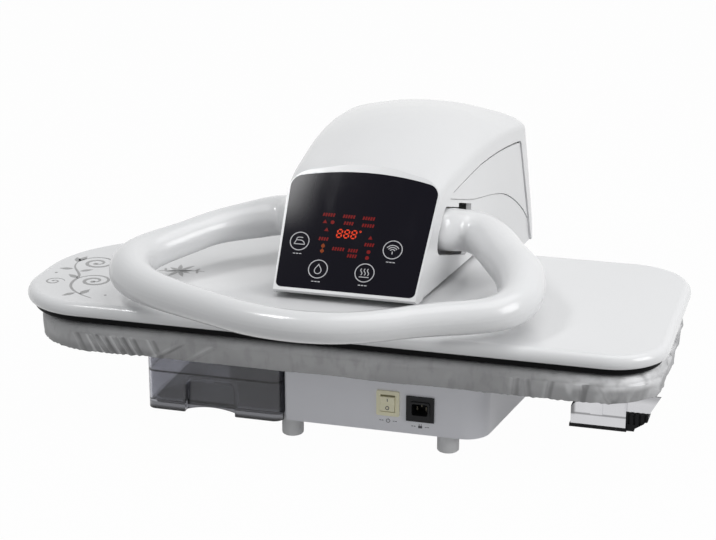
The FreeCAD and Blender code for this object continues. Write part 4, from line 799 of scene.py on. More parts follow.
@dataclass
class PanelMarks:
    """Signs on the control panel: touch keys, number display and status signs, in millimetres on its face."""

    palette: Palette
    lean: float = 40.6
    foot: Point = (0.0, -144.0, 154.0)
    keys: tuple[Pair, ...] = ((-55.3, 50.0), (-30.8, 21.9), (17.0, 22.2), (40.9, 49.1))
    ring_r: float = 9.6
    ring_half: float = 0.45
    line: float = 0.42
    caption_low: float = 13.4
    caption_pitch: float = 3.2
    caption_dash: float = 1.2
    display: Pair = (-8.6, 61.8)
    digit_pitch: float = 7.4
    digit_wide: float = 4.6
    digit_high: float = 8.4
    digit_half: float = 0.7
    digit_gap: float = 0.55
    digit_slant: float = 0.10
    digit_ends: tuple[float, ...] = (0.2, 0.8, 1.0, 1.0, 1.0, 0.8, 0.2)
    degree: Pair = (13.6, 3.6)
    degree_r: float = 0.8
    degree_half: float = 0.3
    dash_rows: tuple[Point, ...] = (
        (-29.6, 81.0, 13.0), (-8.7, 80.7, 13.0), (10.8, 80.4, 11.0), (-8.0, 73.4, 10.0), (12.4, 72.6, 13.0),
        (-14.4, 45.0, 11.0), (1.6, 44.6, 10.0), (1.6, 38.8, 10.0), (16.0, 52.2, 8.0), (-30.6, 54.6, 10.0))
    """Rows of slanted dashes as the middle and the length of each row."""
    dash_pitch: float = 2.6
    dash_half: float = 0.8
    dash_high: float = 1.8
    arrows: tuple[Pair, ...] = ((-30.0, 64.4), (16.2, 59.4), (-33.2, 73.0))
    arrow_r: float = 2.6
    dots: tuple[Pair, ...] = ((17.0, 44.6), (16.6, 38.2), (-25.4, 73.2))
    dot_r: float = 2.0
    drops: tuple[Pair, ...] = ((-30.4, 44.6), (-30.4, 39.2))
    drop_long: float = 5.2
    drop_half: float = 2.0

    def _pen(self) -> Printer:
        """Pen on the face of the panel, which leans back."""
        lean = math.radians(self.lean)
        return Printer(self.palette, Plane(self.foot, (0.0, math.sin(lean), math.cos(lean))))

    @staticmethod
    def _signs() -> list[list[np.ndarray]]:
        """Lines of a hand iron, a drop, steam over a bar and waves over a stem, about their key's middle.

        The drop is a half circle with two curves to a tip, and a wisp of steam is x = x0 + 0.9 * sin(2 pi t).

        Returns:
            Paths of each sign.
        """
        nose = bezier((5.6, -3.2), (4.8, 0.2), (2.6, 1.2), (-0.5, 1.2))
        shell = np.vstack([(-5.2, -3.2), (5.6, -3.2), nose, (-3.4, 1.2), (-5.2, -3.2)])
        grip = bezier((-3.4, 1.4), (-3.6, 4.6), (-1.0, 4.4), (3.0, 4.0))
        flank = bezier((3.4, -1.6), (3.4, 1.0), (1.2, 2.6), (0.0, 5.2))
        mirrored = flank[::-1] * (-1.0, 1.0)
        drop = np.concatenate([arc((0.0, -1.6), 3.4, 180.0, 360.0, 30), flank[1:], mirrored[1:]])
        t = np.linspace(0.0, 1.0, CURVE_STEPS)
        wisp = np.stack([0.9 * np.sin(2.0 * np.pi * t), 7.0 * t - 2.6], axis=1)
        steam = [wisp + (x, 0.0) for x in (-3.4, 0.0, 3.4)] + [np.linspace((-5.0, -4.6), (5.0, -4.6), 3)]
        waves = [arc((0.0, -2.6), radius, 35.0, 145.0) for radius in (3.0, 5.2, 7.4)]
        waves.append(np.linspace((0.0, -4.8), (0.0, -1.8), 3))
        return [[shell, grip], [drop], steam, waves]

    def key_signs(self) -> None:
        """Print the rings, the signs in them and three short dashes under each."""
        pen = self._pen()
        for place, paths in zip(self.keys, self._signs()):
            pen.ring(place, self.ring_r, self.ring_half)
            for path in paths:
                pen.stroke(path + place, self.line)
            low = place[1] - self.caption_low
            for number in (-1, 0, 1):
                x = place[0] + number * self.caption_pitch
                pen.bar((x - self.caption_dash, low), (x + self.caption_dash, low), self.ring_half)
        pen.finish("panel_key_signs", Body.HEAD, "print_pale", "panel_black")

    def digits(self) -> None:
        """Light three slanted seven-bar digits and a small ring after them."""
        pen = self._pen()
        w, h, gap = self.digit_wide / 2, self.digit_high / 2, self.digit_gap
        bars = [((-w + gap, y), (w - gap, y)) for y in (h, 0.0, -h)]
        bars += [((x, y + gap), (x, y + h - gap)) for y in (0.0, -h) for x in (-w, w)]
        half = self.digit_half * np.array(self.digit_ends)
        x, y = self.display
        for number in (-1, 0, 1):
            for start, end in bars:
                path = np.linspace(start, end, len(half))
                path[:, 0] += self.digit_slant * path[:, 1]
                pen.stroke(path + (x + number * self.digit_pitch, y), half)
        pen.ring((x + self.degree[0], y + self.degree[1]), self.degree_r, self.degree_half, 24)
        pen.finish("display_digits", Body.HEAD, "digits", "display_dark")

    def status_signs(self) -> None:
        """Light dim status signs round the digits: rows of dashes, arrows, dots and amber drops."""
        pen = self._pen()
        for x, y, long in self.dash_rows:
            for left in x + np.arange(-long / 2, long / 2, self.dash_pitch):
                top = (left + self.dash_half, y + self.dash_high)
                pen.bar((left, y - self.dash_high), top, self.dash_half)
        for place in self.arrows:
            pen.blob(arc(place, self.arrow_r, 90.0, 330.0, 3))
        for place in self.dots:
            pen.dot(place, self.dot_r)
        pen.finish("status_signs", Body.HEAD, "signs_red", "display_dark")
        amber = self._pen()
        for place in self.drops:
            amber.blob(leaf(place, 90.0, self.drop_long, self.drop_half))
        amber.finish("status_drops", Body.HEAD, "signs_amber", "display_dark")

    def build(self) -> None:
        """Print all signs of the panel."""
        self.key_signs()
        self.digits()
        self.status_signs()


@dataclass(frozen=True)
class Curl:
    """Spiral tendril in millimetres; negative turns are clockwise."""

    centre: Pair
    radius: float
    start: float
    turns: float
    thick: float
    inner_share: float = 0.16
    steps: int = 90

    def path(self) -> np.ndarray:
        """Points of the spiral: the radius falls to its inner share by t to the power 0.9 over the turns.

        Returns:
            Pairs from the outer to the inner end.
        """
        t = np.linspace(0.0, 1.0, self.steps)
        angle = math.radians(self.start) + 2.0 * math.pi * self.turns * t
        reach = self.radius * (1.0 - (1.0 - self.inner_share) * t ** 0.9)
        return np.array(self.centre) + reach[:, None] * np.stack([np.cos(angle), np.sin(angle)], axis=1)


@dataclass
class PlateOrnament:
    """Grey leaf-and-tendril ornaments printed on the plate, in millimetres."""

    palette: Palette
    top: float = 142.0
    thick: float = 1.5
    thin: float = 0.35
    bud_share: float = 1.5
    stem: tuple[Pair, ...] = ((-246, -196), (-268, -186), (-286, -172), (-284, -146), (-282, -124),
                              (-306, -118), (-304, -92))
    """Ends and handles of the two curves of the stem."""
    curls: tuple[Curl, ...] = (Curl((-264.0, -146.0), 19.0, 178.0, -1.75, 1.8),
                               Curl((-283.0, -92.0), 20.5, 182.0, -1.8, 1.8),
                               Curl((-303.0, -158.0), 11.0, 20.0, 1.35, 0.9))
    leaves: tuple[tuple[Pair, float, float], ...] = (
        ((-262, -188), 74, 17), ((-268, -185), 232, 15), ((-284, -142), 148, 16), ((-290, -122), 40, 14),
        ((-300, -116), 190, 15), ((-304, -94), 118, 16), ((-304, -92), 84, 18))
    """Leaves of the nose as foot, direction and length."""
    leaf_share: float = 0.2
    berries: tuple[Point, ...] = ((-312, -132, 1.5), (-250, -118, 1.6), (-246, -126, 1.1), (-276, -66, 1.5),
                                  (-236, -184, 1.4))
    sprig_foot: Pair = (-192, -92)
    sprig_thick: float = 0.8
    sprig_thin: float = 0.25
    sprig_stems: tuple[tuple[Pair, ...], ...] = (((-200, -96), (-208, -94), (-215, -101)),
                                                 ((-184, -92), (-176, -86), (-166, -88)))
    sprig_rays: tuple[Pair, ...] = ((15, 14), (62, 21), (105, 20), (150, 15), (205, 15), (255, 21), (300, 20),
                                    (340, 14))
    """Leaves about the foot of the sprig as direction and length."""
    ray_half: float = 2.4
    sprig_buds: tuple[tuple[Pair, float], ...] = (((-206, -95), 110), ((-176, -88), 70), ((-174, -88), 290))
    sprig_bud_long: float = 8.0
    sprig_bud_half: float = 1.5

    def _pen(self) -> Printer:
        """Pen on the top of the plate."""
        return Printer(self.palette, Plane((0.0, 0.0, self.top), (0.0, 1.0, 0.0)))

    def nose(self) -> None:
        """Print a waving stem with curls, leaves and berries on the nose."""
        pen = self._pen()
        pen.vine(np.concatenate([bezier(*self.stem[:4]), bezier(*self.stem[3:])[1:]]), self.thick, self.thin)
        for curl in self.curls:
            path = curl.path()
            pen.vine(path, curl.thick, self.thin)
            pen.dot(path[-1], self.bud_share * curl.thick)
        for foot, angle, long in self.leaves:
            pen.blob(leaf(foot, angle, long, self.leaf_share * long))
        for x, y, radius in self.berries:
            pen.dot((x, y), radius)
        pen.finish("nose_ornament", Body.HEAD, "print_grey", "white_gloss")

    def sprig(self) -> None:
        """Print a small sprig inside the loop of the handle."""
        pen = self._pen()
        for stem in self.sprig_stems:
            pen.vine(bezier(self.sprig_foot, *stem), self.sprig_thick, self.sprig_thin)
        for angle, long in self.sprig_rays:
            pen.blob(leaf(self.sprig_foot, angle, long, self.ray_half))
        for foot, angle in self.sprig_buds:
            pen.blob(leaf(foot, angle, self.sprig_bud_long, self.sprig_bud_half))
        pen.finish("loop_sprig", Body.HEAD, "print_grey", "white_gloss")

    def build(self) -> None:
        """Print both ornaments."""
        self.nose()
        self.sprig()


@dataclass
class SwitchMarks:
    """Signs of the mains switch and the outlet, in millimetres."""

    palette: Palette
    front: float = -170.0
    key_front: float = -172.6
    key_proud: float = 1.8
    key_half: float = 7.8
    key_middle: Pair = (52.5, 53.0)
    on_ends: Pair = (2.6, 5.8)
    on_half: float = 0.4
    off_low: float = -4.2
    off_r: float = 1.6
    off_half: float = 0.35
    power: Pair = (52.5, 34.2)
    power_r: float = 1.8
    plug: Pair = (85.0, 31.0)
    plug_size: Pair = (2.0, 1.2)
    captions: tuple[Pair, ...] = ((52.5, 34.2), (85.0, 31.4))
    caption_steps: tuple[float, ...] = (-8.0, -5.6, 5.6, 8.0)
    caption_dash: float = 0.9
    line: float = 0.3

    def rocker(self) -> None:
        """Print the on bar and the off ring on the two faces of the rocker."""
        x, z = self.key_middle
        run = math.hypot(self.key_proud, self.key_half)
        for name, sign in (("rocker_on", 1.0), ("rocker_off", -1.0)):
            up = (0.0, -sign * self.key_proud / run, self.key_half / run)
            pen = Printer(self.palette, Plane((x, self.key_front, z), up))
            if sign > 0:
                pen.bar((0.0, self.on_ends[0]), (0.0, self.on_ends[1]), self.on_half)
            else:
                pen.ring((0.0, self.off_low), self.off_r, self.off_half, 32)
            pen.finish(name, Body.ROCKER, "print_dark", "cream")

    def labels(self) -> None:
        """Print a power sign under the switch and a plug sign under the outlet, each between dashes."""
        pen = Printer(self.palette, Plane((0.0, self.front, 0.0), (0.0, 0.0, 1.0)))
        x, z = self.power
        pen.stroke(arc(self.power, self.power_r, 120.0, 420.0, CURVE_STEPS), self.line)
        pen.bar((x, z + 0.2), (x, z + 2.6), self.line)
        x, z = self.plug
        half, thick = self.plug_size
        pen.bar((x - half, z), (x + half, z), thick)
        for prong in (x - 1.0, x + 1.0):
            pen.bar((prong, z + 1.0), (prong, z + 3.0), self.line)
        for x, z in self.captions:
            for step in self.caption_steps:
                left = x + step - self.caption_dash
                pen.bar((left, z), (left + 2.0 * self.caption_dash, z), self.line)
        pen.finish("front_labels", Body.BASE, "print_dark", "base_white")

    def build(self) -> None:
        """Print all signs of the front."""
        self.rocker()
        self.labels()


def bell(value: np.ndarray, width: float) -> np.ndarray:
    """Bell curve exp(-(value / width) squared)."""
    return np.exp(-(value / width) ** 2)


def ramp(value: np.ndarray, low: float, high: float) -> np.ndarray:
    """Smooth step 3 t squared - 2 t cubed of a value between low and high."""
    t = np.clip((value - low) / (high - low), 0.0, 1.0)
    return t * t * (3.0 - 2.0 * t)


@dataclass(frozen=True)
class Ring:
    """Even steps along a closed plan: points, outward normals and distances."""

    points: np.ndarray
    normals: np.ndarray
    where: np.ndarray

    def inset(self, depth: float) -> "Ring":
        """The same steps moved inwards."""
        return Ring(self.points - self.normals * depth, self.normals, self.where)

    def ripple(self, waves: tuple[int, ...], seed: int) -> np.ndarray:
        """Sum of sines of whole wave counts round the plan, with seeded phases, scaled to about 1.

        Args:
            waves: Wave counts.
            seed: Seed of the phases.

        Returns:
            The sum at each point.
        """
        length = self.where[-1] + self.where[1]
        phases = np.random.default_rng(seed).uniform(0.0, 2.0 * np.pi, len(waves))
        turns = 2.0 * np.pi * self.where[:, None] / length * np.array(waves) + phases
        return np.sin(turns).sum(axis=-1) / math.sqrt(len(waves))


@dataclass(frozen=True)
class Outline:
    """Closed plan with rounded corners (x, y, radius), counter-clockwise, in metres."""

    corners: tuple[Point, ...]
    corner_steps: int = 160

    def sample(self, count: int) -> Ring:
        """Even steps along the plan: corner arcs joined by straight runs, measured by their length.

        Args:
            count: Number of steps.

        Returns:
            The steps.
        """
        here, radius = np.array(self.corners)[:, :2], np.array(self.corners)[:, 2:]
        back = unit(np.roll(here, 1, axis=0) - here)
        ahead = unit(np.roll(here, -1, axis=0) - here)
        half = np.arccos((back * ahead).sum(axis=1, keepdims=True)) / 2.0
        centre = here + unit(back + ahead) * radius / np.sin(half)
        foot = here + back * radius / np.tan(half) - centre
        swing = np.linspace(0.0, 1.0, self.corner_steps) * (np.pi - 2.0 * half)
        turn = np.arctan2(foot[:, 1:], foot[:, :1]) + swing
        arcs = centre[:, None] + radius[:, None] * np.stack([np.cos(turn), np.sin(turn)], axis=-1)
        line = np.concatenate([arcs.reshape(-1, 2), arcs[0, :1]])
        run = np.concatenate([[0.0], np.cumsum(np.linalg.norm(np.diff(line, axis=0), axis=1))])
        where = np.linspace(0.0, run[-1], count, endpoint=False)
        points = np.stack([np.interp(where, run, line[:, k]) for k in (0, 1)], axis=1)
        tangent = unit(np.roll(points, -2, axis=0) - np.roll(points, 2, axis=0))
        return Ring(points, np.stack([tangent[:, 1], -tangent[:, 0]], axis=1), where)


@dataclass
class PressBed:
    """Foam pad and cloth cover of the ironing bed, in metres."""

    palette: Palette
    left: float = -0.316
    right: float = 0.315
    front: float = -0.214
    back: float = 0.062
    nose: Pair = (0.115, 0.122)
    radii: tuple[float, ...] = (0.070, 0.050, 0.060, 0.080, 0.110)
    pan: float = 0.0965
    hem: float = 0.093
    top: float = 0.1206
    edge: float = 0.009
    edge_extra: float = 0.6
    """Length of the rounded edge over its plan, as a share of its radius."""
    cloth: float = 0.0006
    tuck: float = 0.013
    tuck_gap: float = 0.0017
    tuck_bow: float = 0.0003
    sink: float = 0.0004
    sag: float = 0.0003
    sag_waves: Pair = (37.0, 29.0)
    sag_phase: float = 0.6
    turn_in: float = 0.0012
    press_in: float = 0.0004
    side_start: Pair = (0.003, 0.010)
    wave_deep: float = 0.0006
    gather_deep: float = 0.0003
    gather_run: Pair = (0.010, 0.027)
    bulge: float = 0.0042
    bulge_middle: float = -0.11
    bulge_half: float = 0.09
    crumple_deep: float = 0.0013
    right_end: Pair = (0.17, 0.29)
    hem_short: float = 0.0003
    hem_slow: float = 0.0004
    hem_rise: float = 0.0012
    hem_ends: Pair = (0.10, 0.22)
    hem_right: Pair = (0.20, 0.29)
    hem_range: Pair = (-0.0010, 0.0014)
    pad_gap: float = 0.0022
    pad_low: float = 0.0026
    pad_crown: float = 0.0008
    pad_waist: float = 0.0006
    pad_lift: float = 0.0004
    round_steps: int = 1100
    flat_steps: int = 22
    edge_steps: int = 8
    side_steps: int = 22
    tuck_steps: int = 5
    pad_round_steps: int = 420
    pad_flat_steps: int = 12
    pad_side_steps: int = 6
    folds: tuple[tuple[float, float, float, float], ...] = (
        (-0.2560, 0.0012, 0.0030, 0.50), (-0.2408, 0.0020, 0.0022, 0.54), (-0.2350, 0.0024, 0.0024, 0.72),
        (-0.2266, 0.0023, 0.0026, 0.61), (-0.2146, 0.0022, 0.0024, 0.57), (-0.2070, 0.0021, 0.0025, 0.58),
        (-0.1962, 0.0018, 0.0026, 0.50), (-0.1756, 0.0014, 0.0032, 0.49), (-0.1471, 0.0012, 0.0036, -1.60),
        (-0.1128, 0.0010, 0.0045, -1.60), (-0.0400, 0.0006, 0.0090, 0.35), (0.0500, 0.0006, 0.0100, -0.30),
        (0.1300, 0.0007, 0.0080, -0.40), (0.1865, 0.0012, 0.0034, -0.10), (0.1960, 0.0010, 0.0030, 0.15),
        (0.2190, 0.0012, 0.0032, -0.20), (0.2334, -0.0008, 0.0050, 0.30), (0.2500, 0.0015, 0.0034, -0.10),
        (0.2670, 0.0010, 0.0044, 0.55), (0.2800, 0.0009, 0.0050, -0.20))
    """Folds of the front as place along X, height, half width and slant."""
    fold_middle: float = 0.012
    fold_start: Pair = (0.002, 0.006)
    fold_run: float = 0.007
    fold_steep: float = 0.6
    crumples: tuple[Point, ...] = ((0.047, 0.052, 0.0), (0.061, -0.034, 1.3), (0.029, 0.070, 0.4))
    """Ridges of the right end as length along the plan, length down the side and phase."""
    level_normal: float = 0.75
    full_slope: float = 0.0026
    """Rise over four steps of the plan that counts as a slope of 1."""

    def plan(self) -> Outline:
        """Plan of the bed."""
        places = ((self.left, self.front), (self.right, self.front), (self.right, self.back),
                  (self.left + self.nose[0], self.back), (self.left, self.back - self.nose[1]))
        return Outline(tuple((*place, radius) for place, radius in zip(places, self.radii)))

    def _towards(self, ring: np.ndarray, shares: np.ndarray) -> np.ndarray:
        """Rings middle + share * (ring - middle)."""
        middle = np.array([(self.left + self.right) / 2, (self.front + self.back) / 2])
        return middle + shares[:, None, None] * (ring - middle)

    def _upper(self, ring: Ring, radius: float, top: float, shares: np.ndarray,
               steps: int) -> tuple[np.ndarray, np.ndarray]:
        """Flat rings from the middle outwards, then a quarter circle over the edge.

        Args:
            ring: Plan of the side.
            radius: Radius of the quarter circle.
            top: Height of the flat rings.
            shares: Shares of the flat rings.
            steps: Rings of the quarter circle.

        Returns:
            Plan points and heights by ring.
        """
        inner = ring.inset(radius).points
        flat = self._towards(inner, shares)
        turn = np.linspace(0.0, np.pi / 2, steps + 1)[1:, None]
        edge = inner + (radius * np.sin(turn))[..., None] * ring.normals
        fall = np.broadcast_to(top - radius * (1.0 - np.cos(turn)), edge.shape[:2])
        return np.concatenate([flat, edge]), np.concatenate([np.full(flat.shape[:2], top), fall])

    @staticmethod
    def _rings(*parts: tuple[np.ndarray, np.ndarray]) -> np.ndarray:
        """Points of all rings, from the plan points and heights of each part."""
        return np.concatenate([np.concatenate([plan, height[..., None]], axis=-1) for plan, height in parts])

    def _piece(self, name: str, grid: np.ndarray, finish: str) -> bpy.types.Object:
        """Smooth piece whose rings close on themselves.

        Args:
            name: Name of the piece.
            grid: Points by ring and step.
            finish: Name of its finish.

        Returns:
            The new object.
        """
        patch = Patchwork()
        patch.add(grid, wrap_columns=True)
        piece = patch.build(name, smooth=True)
        self.palette.dress(piece, finish)
        return piece

    def _fold_depth(self, ring: Ring, drop: np.ndarray) -> np.ndarray:
        """How far the cloth stands out on its side.

        Gathers are sines round the plan that grow towards the hem and at the corners, over slow waves and a
        bulge of the right end; slanted folds are bell curves across x - place - slope * drop on the front,
        steeper on their right and each with its own start; three slanted ridges crumple the right end.

        Args:
            ring: Steps along the plan.
            drop: Column of depths below the top.

        Returns:
            Offsets by depth and step.
        """
        x, y = ring.points.T
        facing = ramp(-ring.normals[:, 1], 0.2, 0.7)
        end = ramp(ring.normals[:, 0], 0.5, 0.95)
        fade = ramp(drop, *self.side_start)
        corner = 0.35 + 0.65 * bell(np.abs(ring.normals[:, 0]) - 0.72, 0.25)
        out = self.gather_deep * ring.ripple((97, 131, 173, 211), 5) * corner * ramp(drop, *self.gather_run)
        out += self.wave_deep * ring.ripple((7, 13, 19, 29), 8) * fade
        out += self.bulge * end * bell(y - self.bulge_middle, self.bulge_half) * fade
        first, spread = self.fold_start
        for number, (place, high, wide, slope) in enumerate(self.folds):
            start = first + spread * (number * GOLDEN % 1.0)
            away = x - place - slope * (drop - self.fold_middle)
            steep = np.where(away > 0.0, self.fold_steep, 1.0)
            out += high * bell(away / steep, wide) * facing * ramp(drop, start, start + self.fold_run)
        crumple = np.zeros_like(out)
        for long, deep, phase in self.crumples:
            crumple += 0.6 - np.abs(np.sin(np.pi * (ring.where / long + drop / deep) + phase))
        reach = ramp(x, *self.right_end) * np.maximum(facing, 0.5 + end) * fade
        return out + self.crumple_deep * crumple * reach

    def _hem_lift(self, ring: Ring) -> np.ndarray:
        """How far the hem is drawn up: short ripples, stronger at the ends, slow waves, a raised right end.

        Args:
            ring: Steps along the plan.

        Returns:
            Heights by step, within the hem's range.
        """
        x = ring.points[:, 0]
        short = ring.ripple((41, 67, 103, 149), 3) + ring.ripple((211, 283), 6)
        ends = 0.3 + 0.7 * ramp(np.abs(x), *self.hem_ends)
        slow = ring.ripple((11, 17), 4)
        lift = self.hem_short * short * ends + self.hem_slow * slow + self.hem_rise * ramp(x, *self.hem_right)
        return lift.clip(*self.hem_range)

    def cover(self) -> None:
        """Cloth drawn over the pad: flat rings, rounded edge, side and tuck.

        The flat top sags by a product of sines; the side runs straight down with folds along the normal and
        turns in by the cube of its depth; the tuck runs inwards under the pan.
        """
        ring = self.plan().sample(self.round_steps)
        shares = np.linspace(0.0, 1.0, self.flat_steps + 1) ** 0.85
        upper_xy, upper_z = self._upper(ring, self.edge, self.top, shares, self.edge_steps)
        x, y = np.moveaxis(upper_xy[:len(shares)], -1, 0)
        across, along = self.sag_waves
        wave = np.sin(x * across + self.sag_phase) * np.sin(y * along) * (1.0 - shares[:, None] ** 6)
        upper_z[:len(shares)] += self.sag * wave - self.sink
        high = self.top - self.edge
        lift = self._hem_lift(ring)
        drop = np.linspace(0.0, 1.0, self.side_steps + 1)[1:, None]
        fall = (high - self.hem) * drop
        out = self._fold_depth(ring, fall + self.edge)
        stand = np.maximum(out - self.turn_in * drop ** 3, -self.press_in)
        side_xy = ring.points + stand[..., None] * ring.normals
        side_z = high - fall + lift * ramp(drop, 0.6, 1.0)
        under = np.linspace(0.0, 1.0, self.tuck_steps + 1)[1:, None]
        under_xy = side_xy[-1] - (under * self.tuck)[..., None] * ring.normals
        under_z = np.minimum(side_z[-1] + self.tuck_bow * np.sin(under * np.pi), self.pan - self.tuck_gap)
        grid = self._rings((upper_xy, upper_z), (side_xy, side_z), (under_xy, under_z))
        piece = self._piece("bed_cloth", grid, "cloth")
        self._cut_map(piece)
        self._fold_map(piece, out)
        thick = piece.modifiers.new("thickness", "SOLIDIFY")
        thick.thickness = self.cloth
        thick.offset = -1.0
        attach(piece, Body.BASE.value)
        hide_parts("bed_cover")

    @staticmethod
    def _area(grid: np.ndarray) -> float:
        """Area of a grid that wraps along its columns: half the cross products of its quads' diagonals.

        Args:
            grid: Points by ring and step.

        Returns:
            The area in square metres.
        """
        ahead = np.roll(grid, -1, axis=1)
        first = ahead[1:] - grid[:-1]
        second = grid[1:] - ahead[:-1]
        return float(np.linalg.norm(np.cross(first, second), axis=-1).sum() / 2.0)

    def _fold_map(self, piece: bpy.types.Object, out: np.ndarray) -> None:
        """Slope of the side along the plan, from -1 on faces turned right to 1 on faces turned left, which
        the cloth's finish turns into painted highlight and shade.

        Args:
            piece: The cloth, whose last points are those of the side and of the tuck.
            out: How far the side stands out, by ring and step.
        """
        slope = (np.roll(out, -2, axis=1) - np.roll(out, 2, axis=1)) / self.full_slope
        values = np.zeros(len(piece.data.vertices), dtype=np.float32)
        end = len(values) - self.tuck_steps * out.shape[1]
        values[end - slope.size:end] = np.clip(slope, -1.0, 1.0).ravel()
        piece.data.attributes.new("fold", "FLOAT", "POINT").data.foreach_set("value", values)

    def _cut_map(self, piece: bpy.types.Object) -> None:
        """Map of the cut cloth in metres: X and Y where it lies level, X + Y and height on the side.

        Args:
            piece: The cloth.
        """
        mesh = piece.data
        corner = np.empty(len(mesh.loops), dtype=np.int64)
        mesh.loops.foreach_get("vertex_index", corner)
        spots = np.empty(len(mesh.vertices) * 3)
        mesh.vertices.foreach_get("co", spots)
        spots = spots.reshape(-1, 3)[corner]
        faces = np.repeat(np.arange(len(mesh.polygons)), [p.loop_total for p in mesh.polygons])
        normal = np.empty(len(mesh.polygons) * 3)
        mesh.polygons.foreach_get("normal", normal)
        level = np.abs(normal.reshape(-1, 3)[faces, 2]) > self.level_normal
        round_run = np.stack([spots[:, 0] + spots[:, 1], spots[:, 2]], axis=1)
        cut = np.where(level[:, None], spots[:, :2], round_run)
        mesh.uv_layers.new(name="cut").data.foreach_set("uv", cut.astype(np.float32).ravel())

    def pad(self) -> None:
        """Foam pad under the cloth: a crowned closed form with rounded edges, flat where it rests on the pan.

        The crown falls by the fourth power of the share, and the side is drawn in by half a sine.
        """
        ring = self.plan().sample(self.pad_round_steps).inset(self.pad_gap)
        shares = np.linspace(0.0, 1.0, self.pad_flat_steps + 1)
        top = self.top - self.pad_low
        upper_xy, upper_z = self._upper(ring, self.edge - self.pad_gap, top, shares, self.pad_side_steps)
        upper_z[:len(shares)] += self.pad_crown * (1.0 - shares[:, None] ** 4)
        drop = np.linspace(0.0, 1.0, self.pad_side_steps + 1)[1:, None]
        side_xy = ring.points - (self.pad_waist * np.sin(np.pi * drop))[..., None] * ring.normals
        low = self.pan + self.pad_lift
        side_z = upper_z[-1] + drop * (low - upper_z[-1])
        floor_xy = self._towards(side_xy[-1], shares[::-1][1:])
        floor_z = np.full(floor_xy.shape[:2], low)
        grid = self._rings((upper_xy, upper_z), (side_xy, side_z), (floor_xy, floor_z))
        piece = self._piece("bed_pad", grid, "foam")
        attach(piece, Body.BASE.value)
        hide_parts("bed_foam")
        LOG.info("set the foam pad")

    def build(self) -> None:
        """Make the pad and its cover."""
        self.pad()
        self.cover()


def aimed(data: bpy.types.ID, place: Point, aim: Point) -> bpy.types.Object:
    """Put a lamp or camera at a place, turned to its aim.

    Args:
        data: Data of the lamp or the camera.
        place: Where it stands.
        aim: What it points at.

    Returns:
        The new object.
    """
    thing = bpy.data.objects.new(data.name, data)
    thing.location = Vector(place) + Vector(HEAD_FOOT)
    thing.rotation_euler = (Vector(aim) - Vector(place)).to_track_quat("-Z", "Y").to_euler()
    bpy.context.scene.collection.objects.link(thing)
    return thing


@dataclass(frozen=True)
class Lamp:
    """Square soft lamp: place, aim and side in metres."""

    name: str
    place: Point
    aim: Point
    size: float
    watts: float

    def hang(self) -> None:
        """Hang the lamp."""
        data = bpy.data.lights.new(self.name, "AREA")
        data.shape = "SQUARE"
        data.size = self.size
        data.energy = self.watts
        aimed(data, self.place, self.aim)


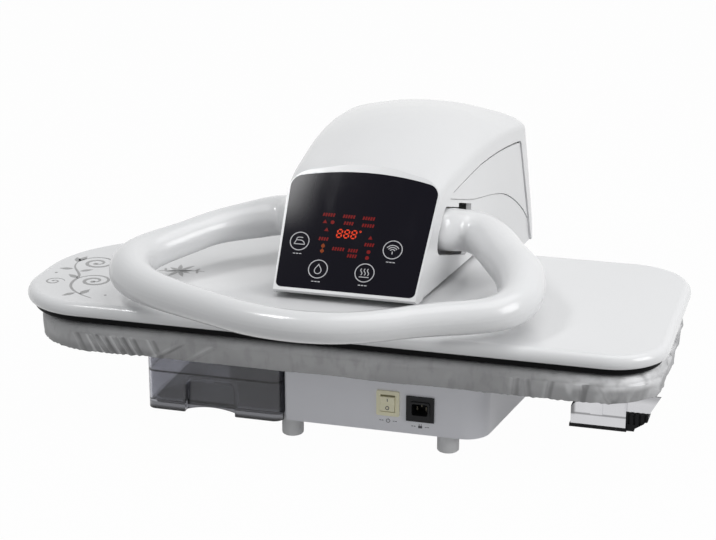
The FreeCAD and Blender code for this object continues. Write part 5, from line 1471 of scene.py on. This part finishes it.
@dataclass
class Studio:
    """Pale floor, soft lamps, plain surroundings and the camera."""

    eye: Point = (0.5081, -1.8885, 0.7885)
    target: Point = (-0.015, -0.040, 0.142)
    lens: float = 98.55
    sensor: float = 36.0
    floor_half: float = 6.0
    floor_z: float = -0.0003
    floor_share: float = 0.98
    paper: Pair = (0.45, 0.49)
    sky: float = 0.37
    sky_colour: RGB = (0.96, 0.98, 1.0)
    lamps: tuple[Lamp, ...] = (Lamp("overhead", (0.55, 0.05, 1.9), (0.0, 0.0, 0.15), 1.4, 9.5),
                               Lamp("right", (1.7, -0.5, 1.0), (0.0, 0.0, 0.15), 1.0, 15.0),
                               Lamp("window", (-0.81, -0.74, 1.9), (0.0, -0.1, 0.2), 0.45, 9.0),
                               Lamp("front", (0.3, -2.4, 0.45), (0.0, -0.1, 0.1), 1.2, 0.6))

    def camera(self) -> None:
        """Set the camera at the photograph's view."""
        data = bpy.data.cameras.new("camera")
        data.lens = self.lens
        data.sensor_width = self.sensor
        bpy.context.scene.camera = aimed(data, self.eye, self.target)

    @staticmethod
    def seen(graph: Graph) -> Sock:
        """1 for rays that show the surroundings: straight, mirrored and through clear pieces.

        Args:
            graph: Tree of the floor or of the surroundings.

        Returns:
            1 or 0 for each ray.
        """
        path = graph.node("ShaderNodeLightPath")
        names = ("Is Camera Ray", "Is Glossy Ray", "Is Transmission Ray")
        straight, mirrored, through = [Sock(graph, path.outputs[name]) for name in names]
        return (straight + mirrored + through).band(0.0, 1.0)

    def floor(self) -> None:
        """Lay a wide pale floor that keeps the shadow of the press."""
        side = np.linspace(-self.floor_half, self.floor_half, 3)
        x, y = np.meshgrid(side, side, indexing="ij")
        patch = Patchwork()
        patch.add(np.stack([x, y, np.full_like(x, self.floor_z)], axis=-1))
        piece = patch.build("floor")
        g = Graph(bpy.data.materials.new("floor_paper"))
        matt = g.value("ShaderNodeBsdfDiffuse", {"Color": g.shades(g.noise(3.0), WHITE, *self.paper)})
        glow = g.value("ShaderNodeEmission", {"Color": (*WHITE, 1.0), "Strength": 1.0})
        mixed = g.value("ShaderNodeMixShader", {0: self.seen(g) * self.floor_share, 1: matt, 2: glow})
        g.node("ShaderNodeOutputMaterial", {0: mixed})
        piece.data.materials.append(g.owner)

    def world(self) -> None:
        """White surroundings for what is seen, softer light for the rest."""
        g = Graph(bpy.data.worlds.new("studio"))
        soft = g.value("ShaderNodeBackground", {"Color": (*self.sky_colour, 1.0), "Strength": self.sky})
        white = g.value("ShaderNodeBackground", {"Color": (*WHITE, 1.0), "Strength": 1.0})
        mixed = g.value("ShaderNodeMixShader", {0: self.seen(g), 1: soft, 2: white})
        g.node("ShaderNodeOutputWorld", {0: mixed})
        bpy.context.scene.world = g.owner

    def build(self) -> None:
        """Set floor, surroundings, lamps and camera."""
        self.floor()
        self.world()
        for lamp in self.lamps:
            lamp.hang()
        self.camera()
        bpy.context.scene.view_settings.view_transform = "Standard"


def main() -> None:
    """Dress the solids, build the soft and printed pieces and set the studio."""
    logging.basicConfig(level=logging.INFO, format="%(name)s: %(message)s")
    palette = Palette()
    palette.dress_frame()
    PressBed(palette).build()
    PanelMarks(palette).build()
    PlateOrnament(palette).build()
    SwitchMarks(palette).build()
    Studio().build()


if __name__ == "__main__":
    main()
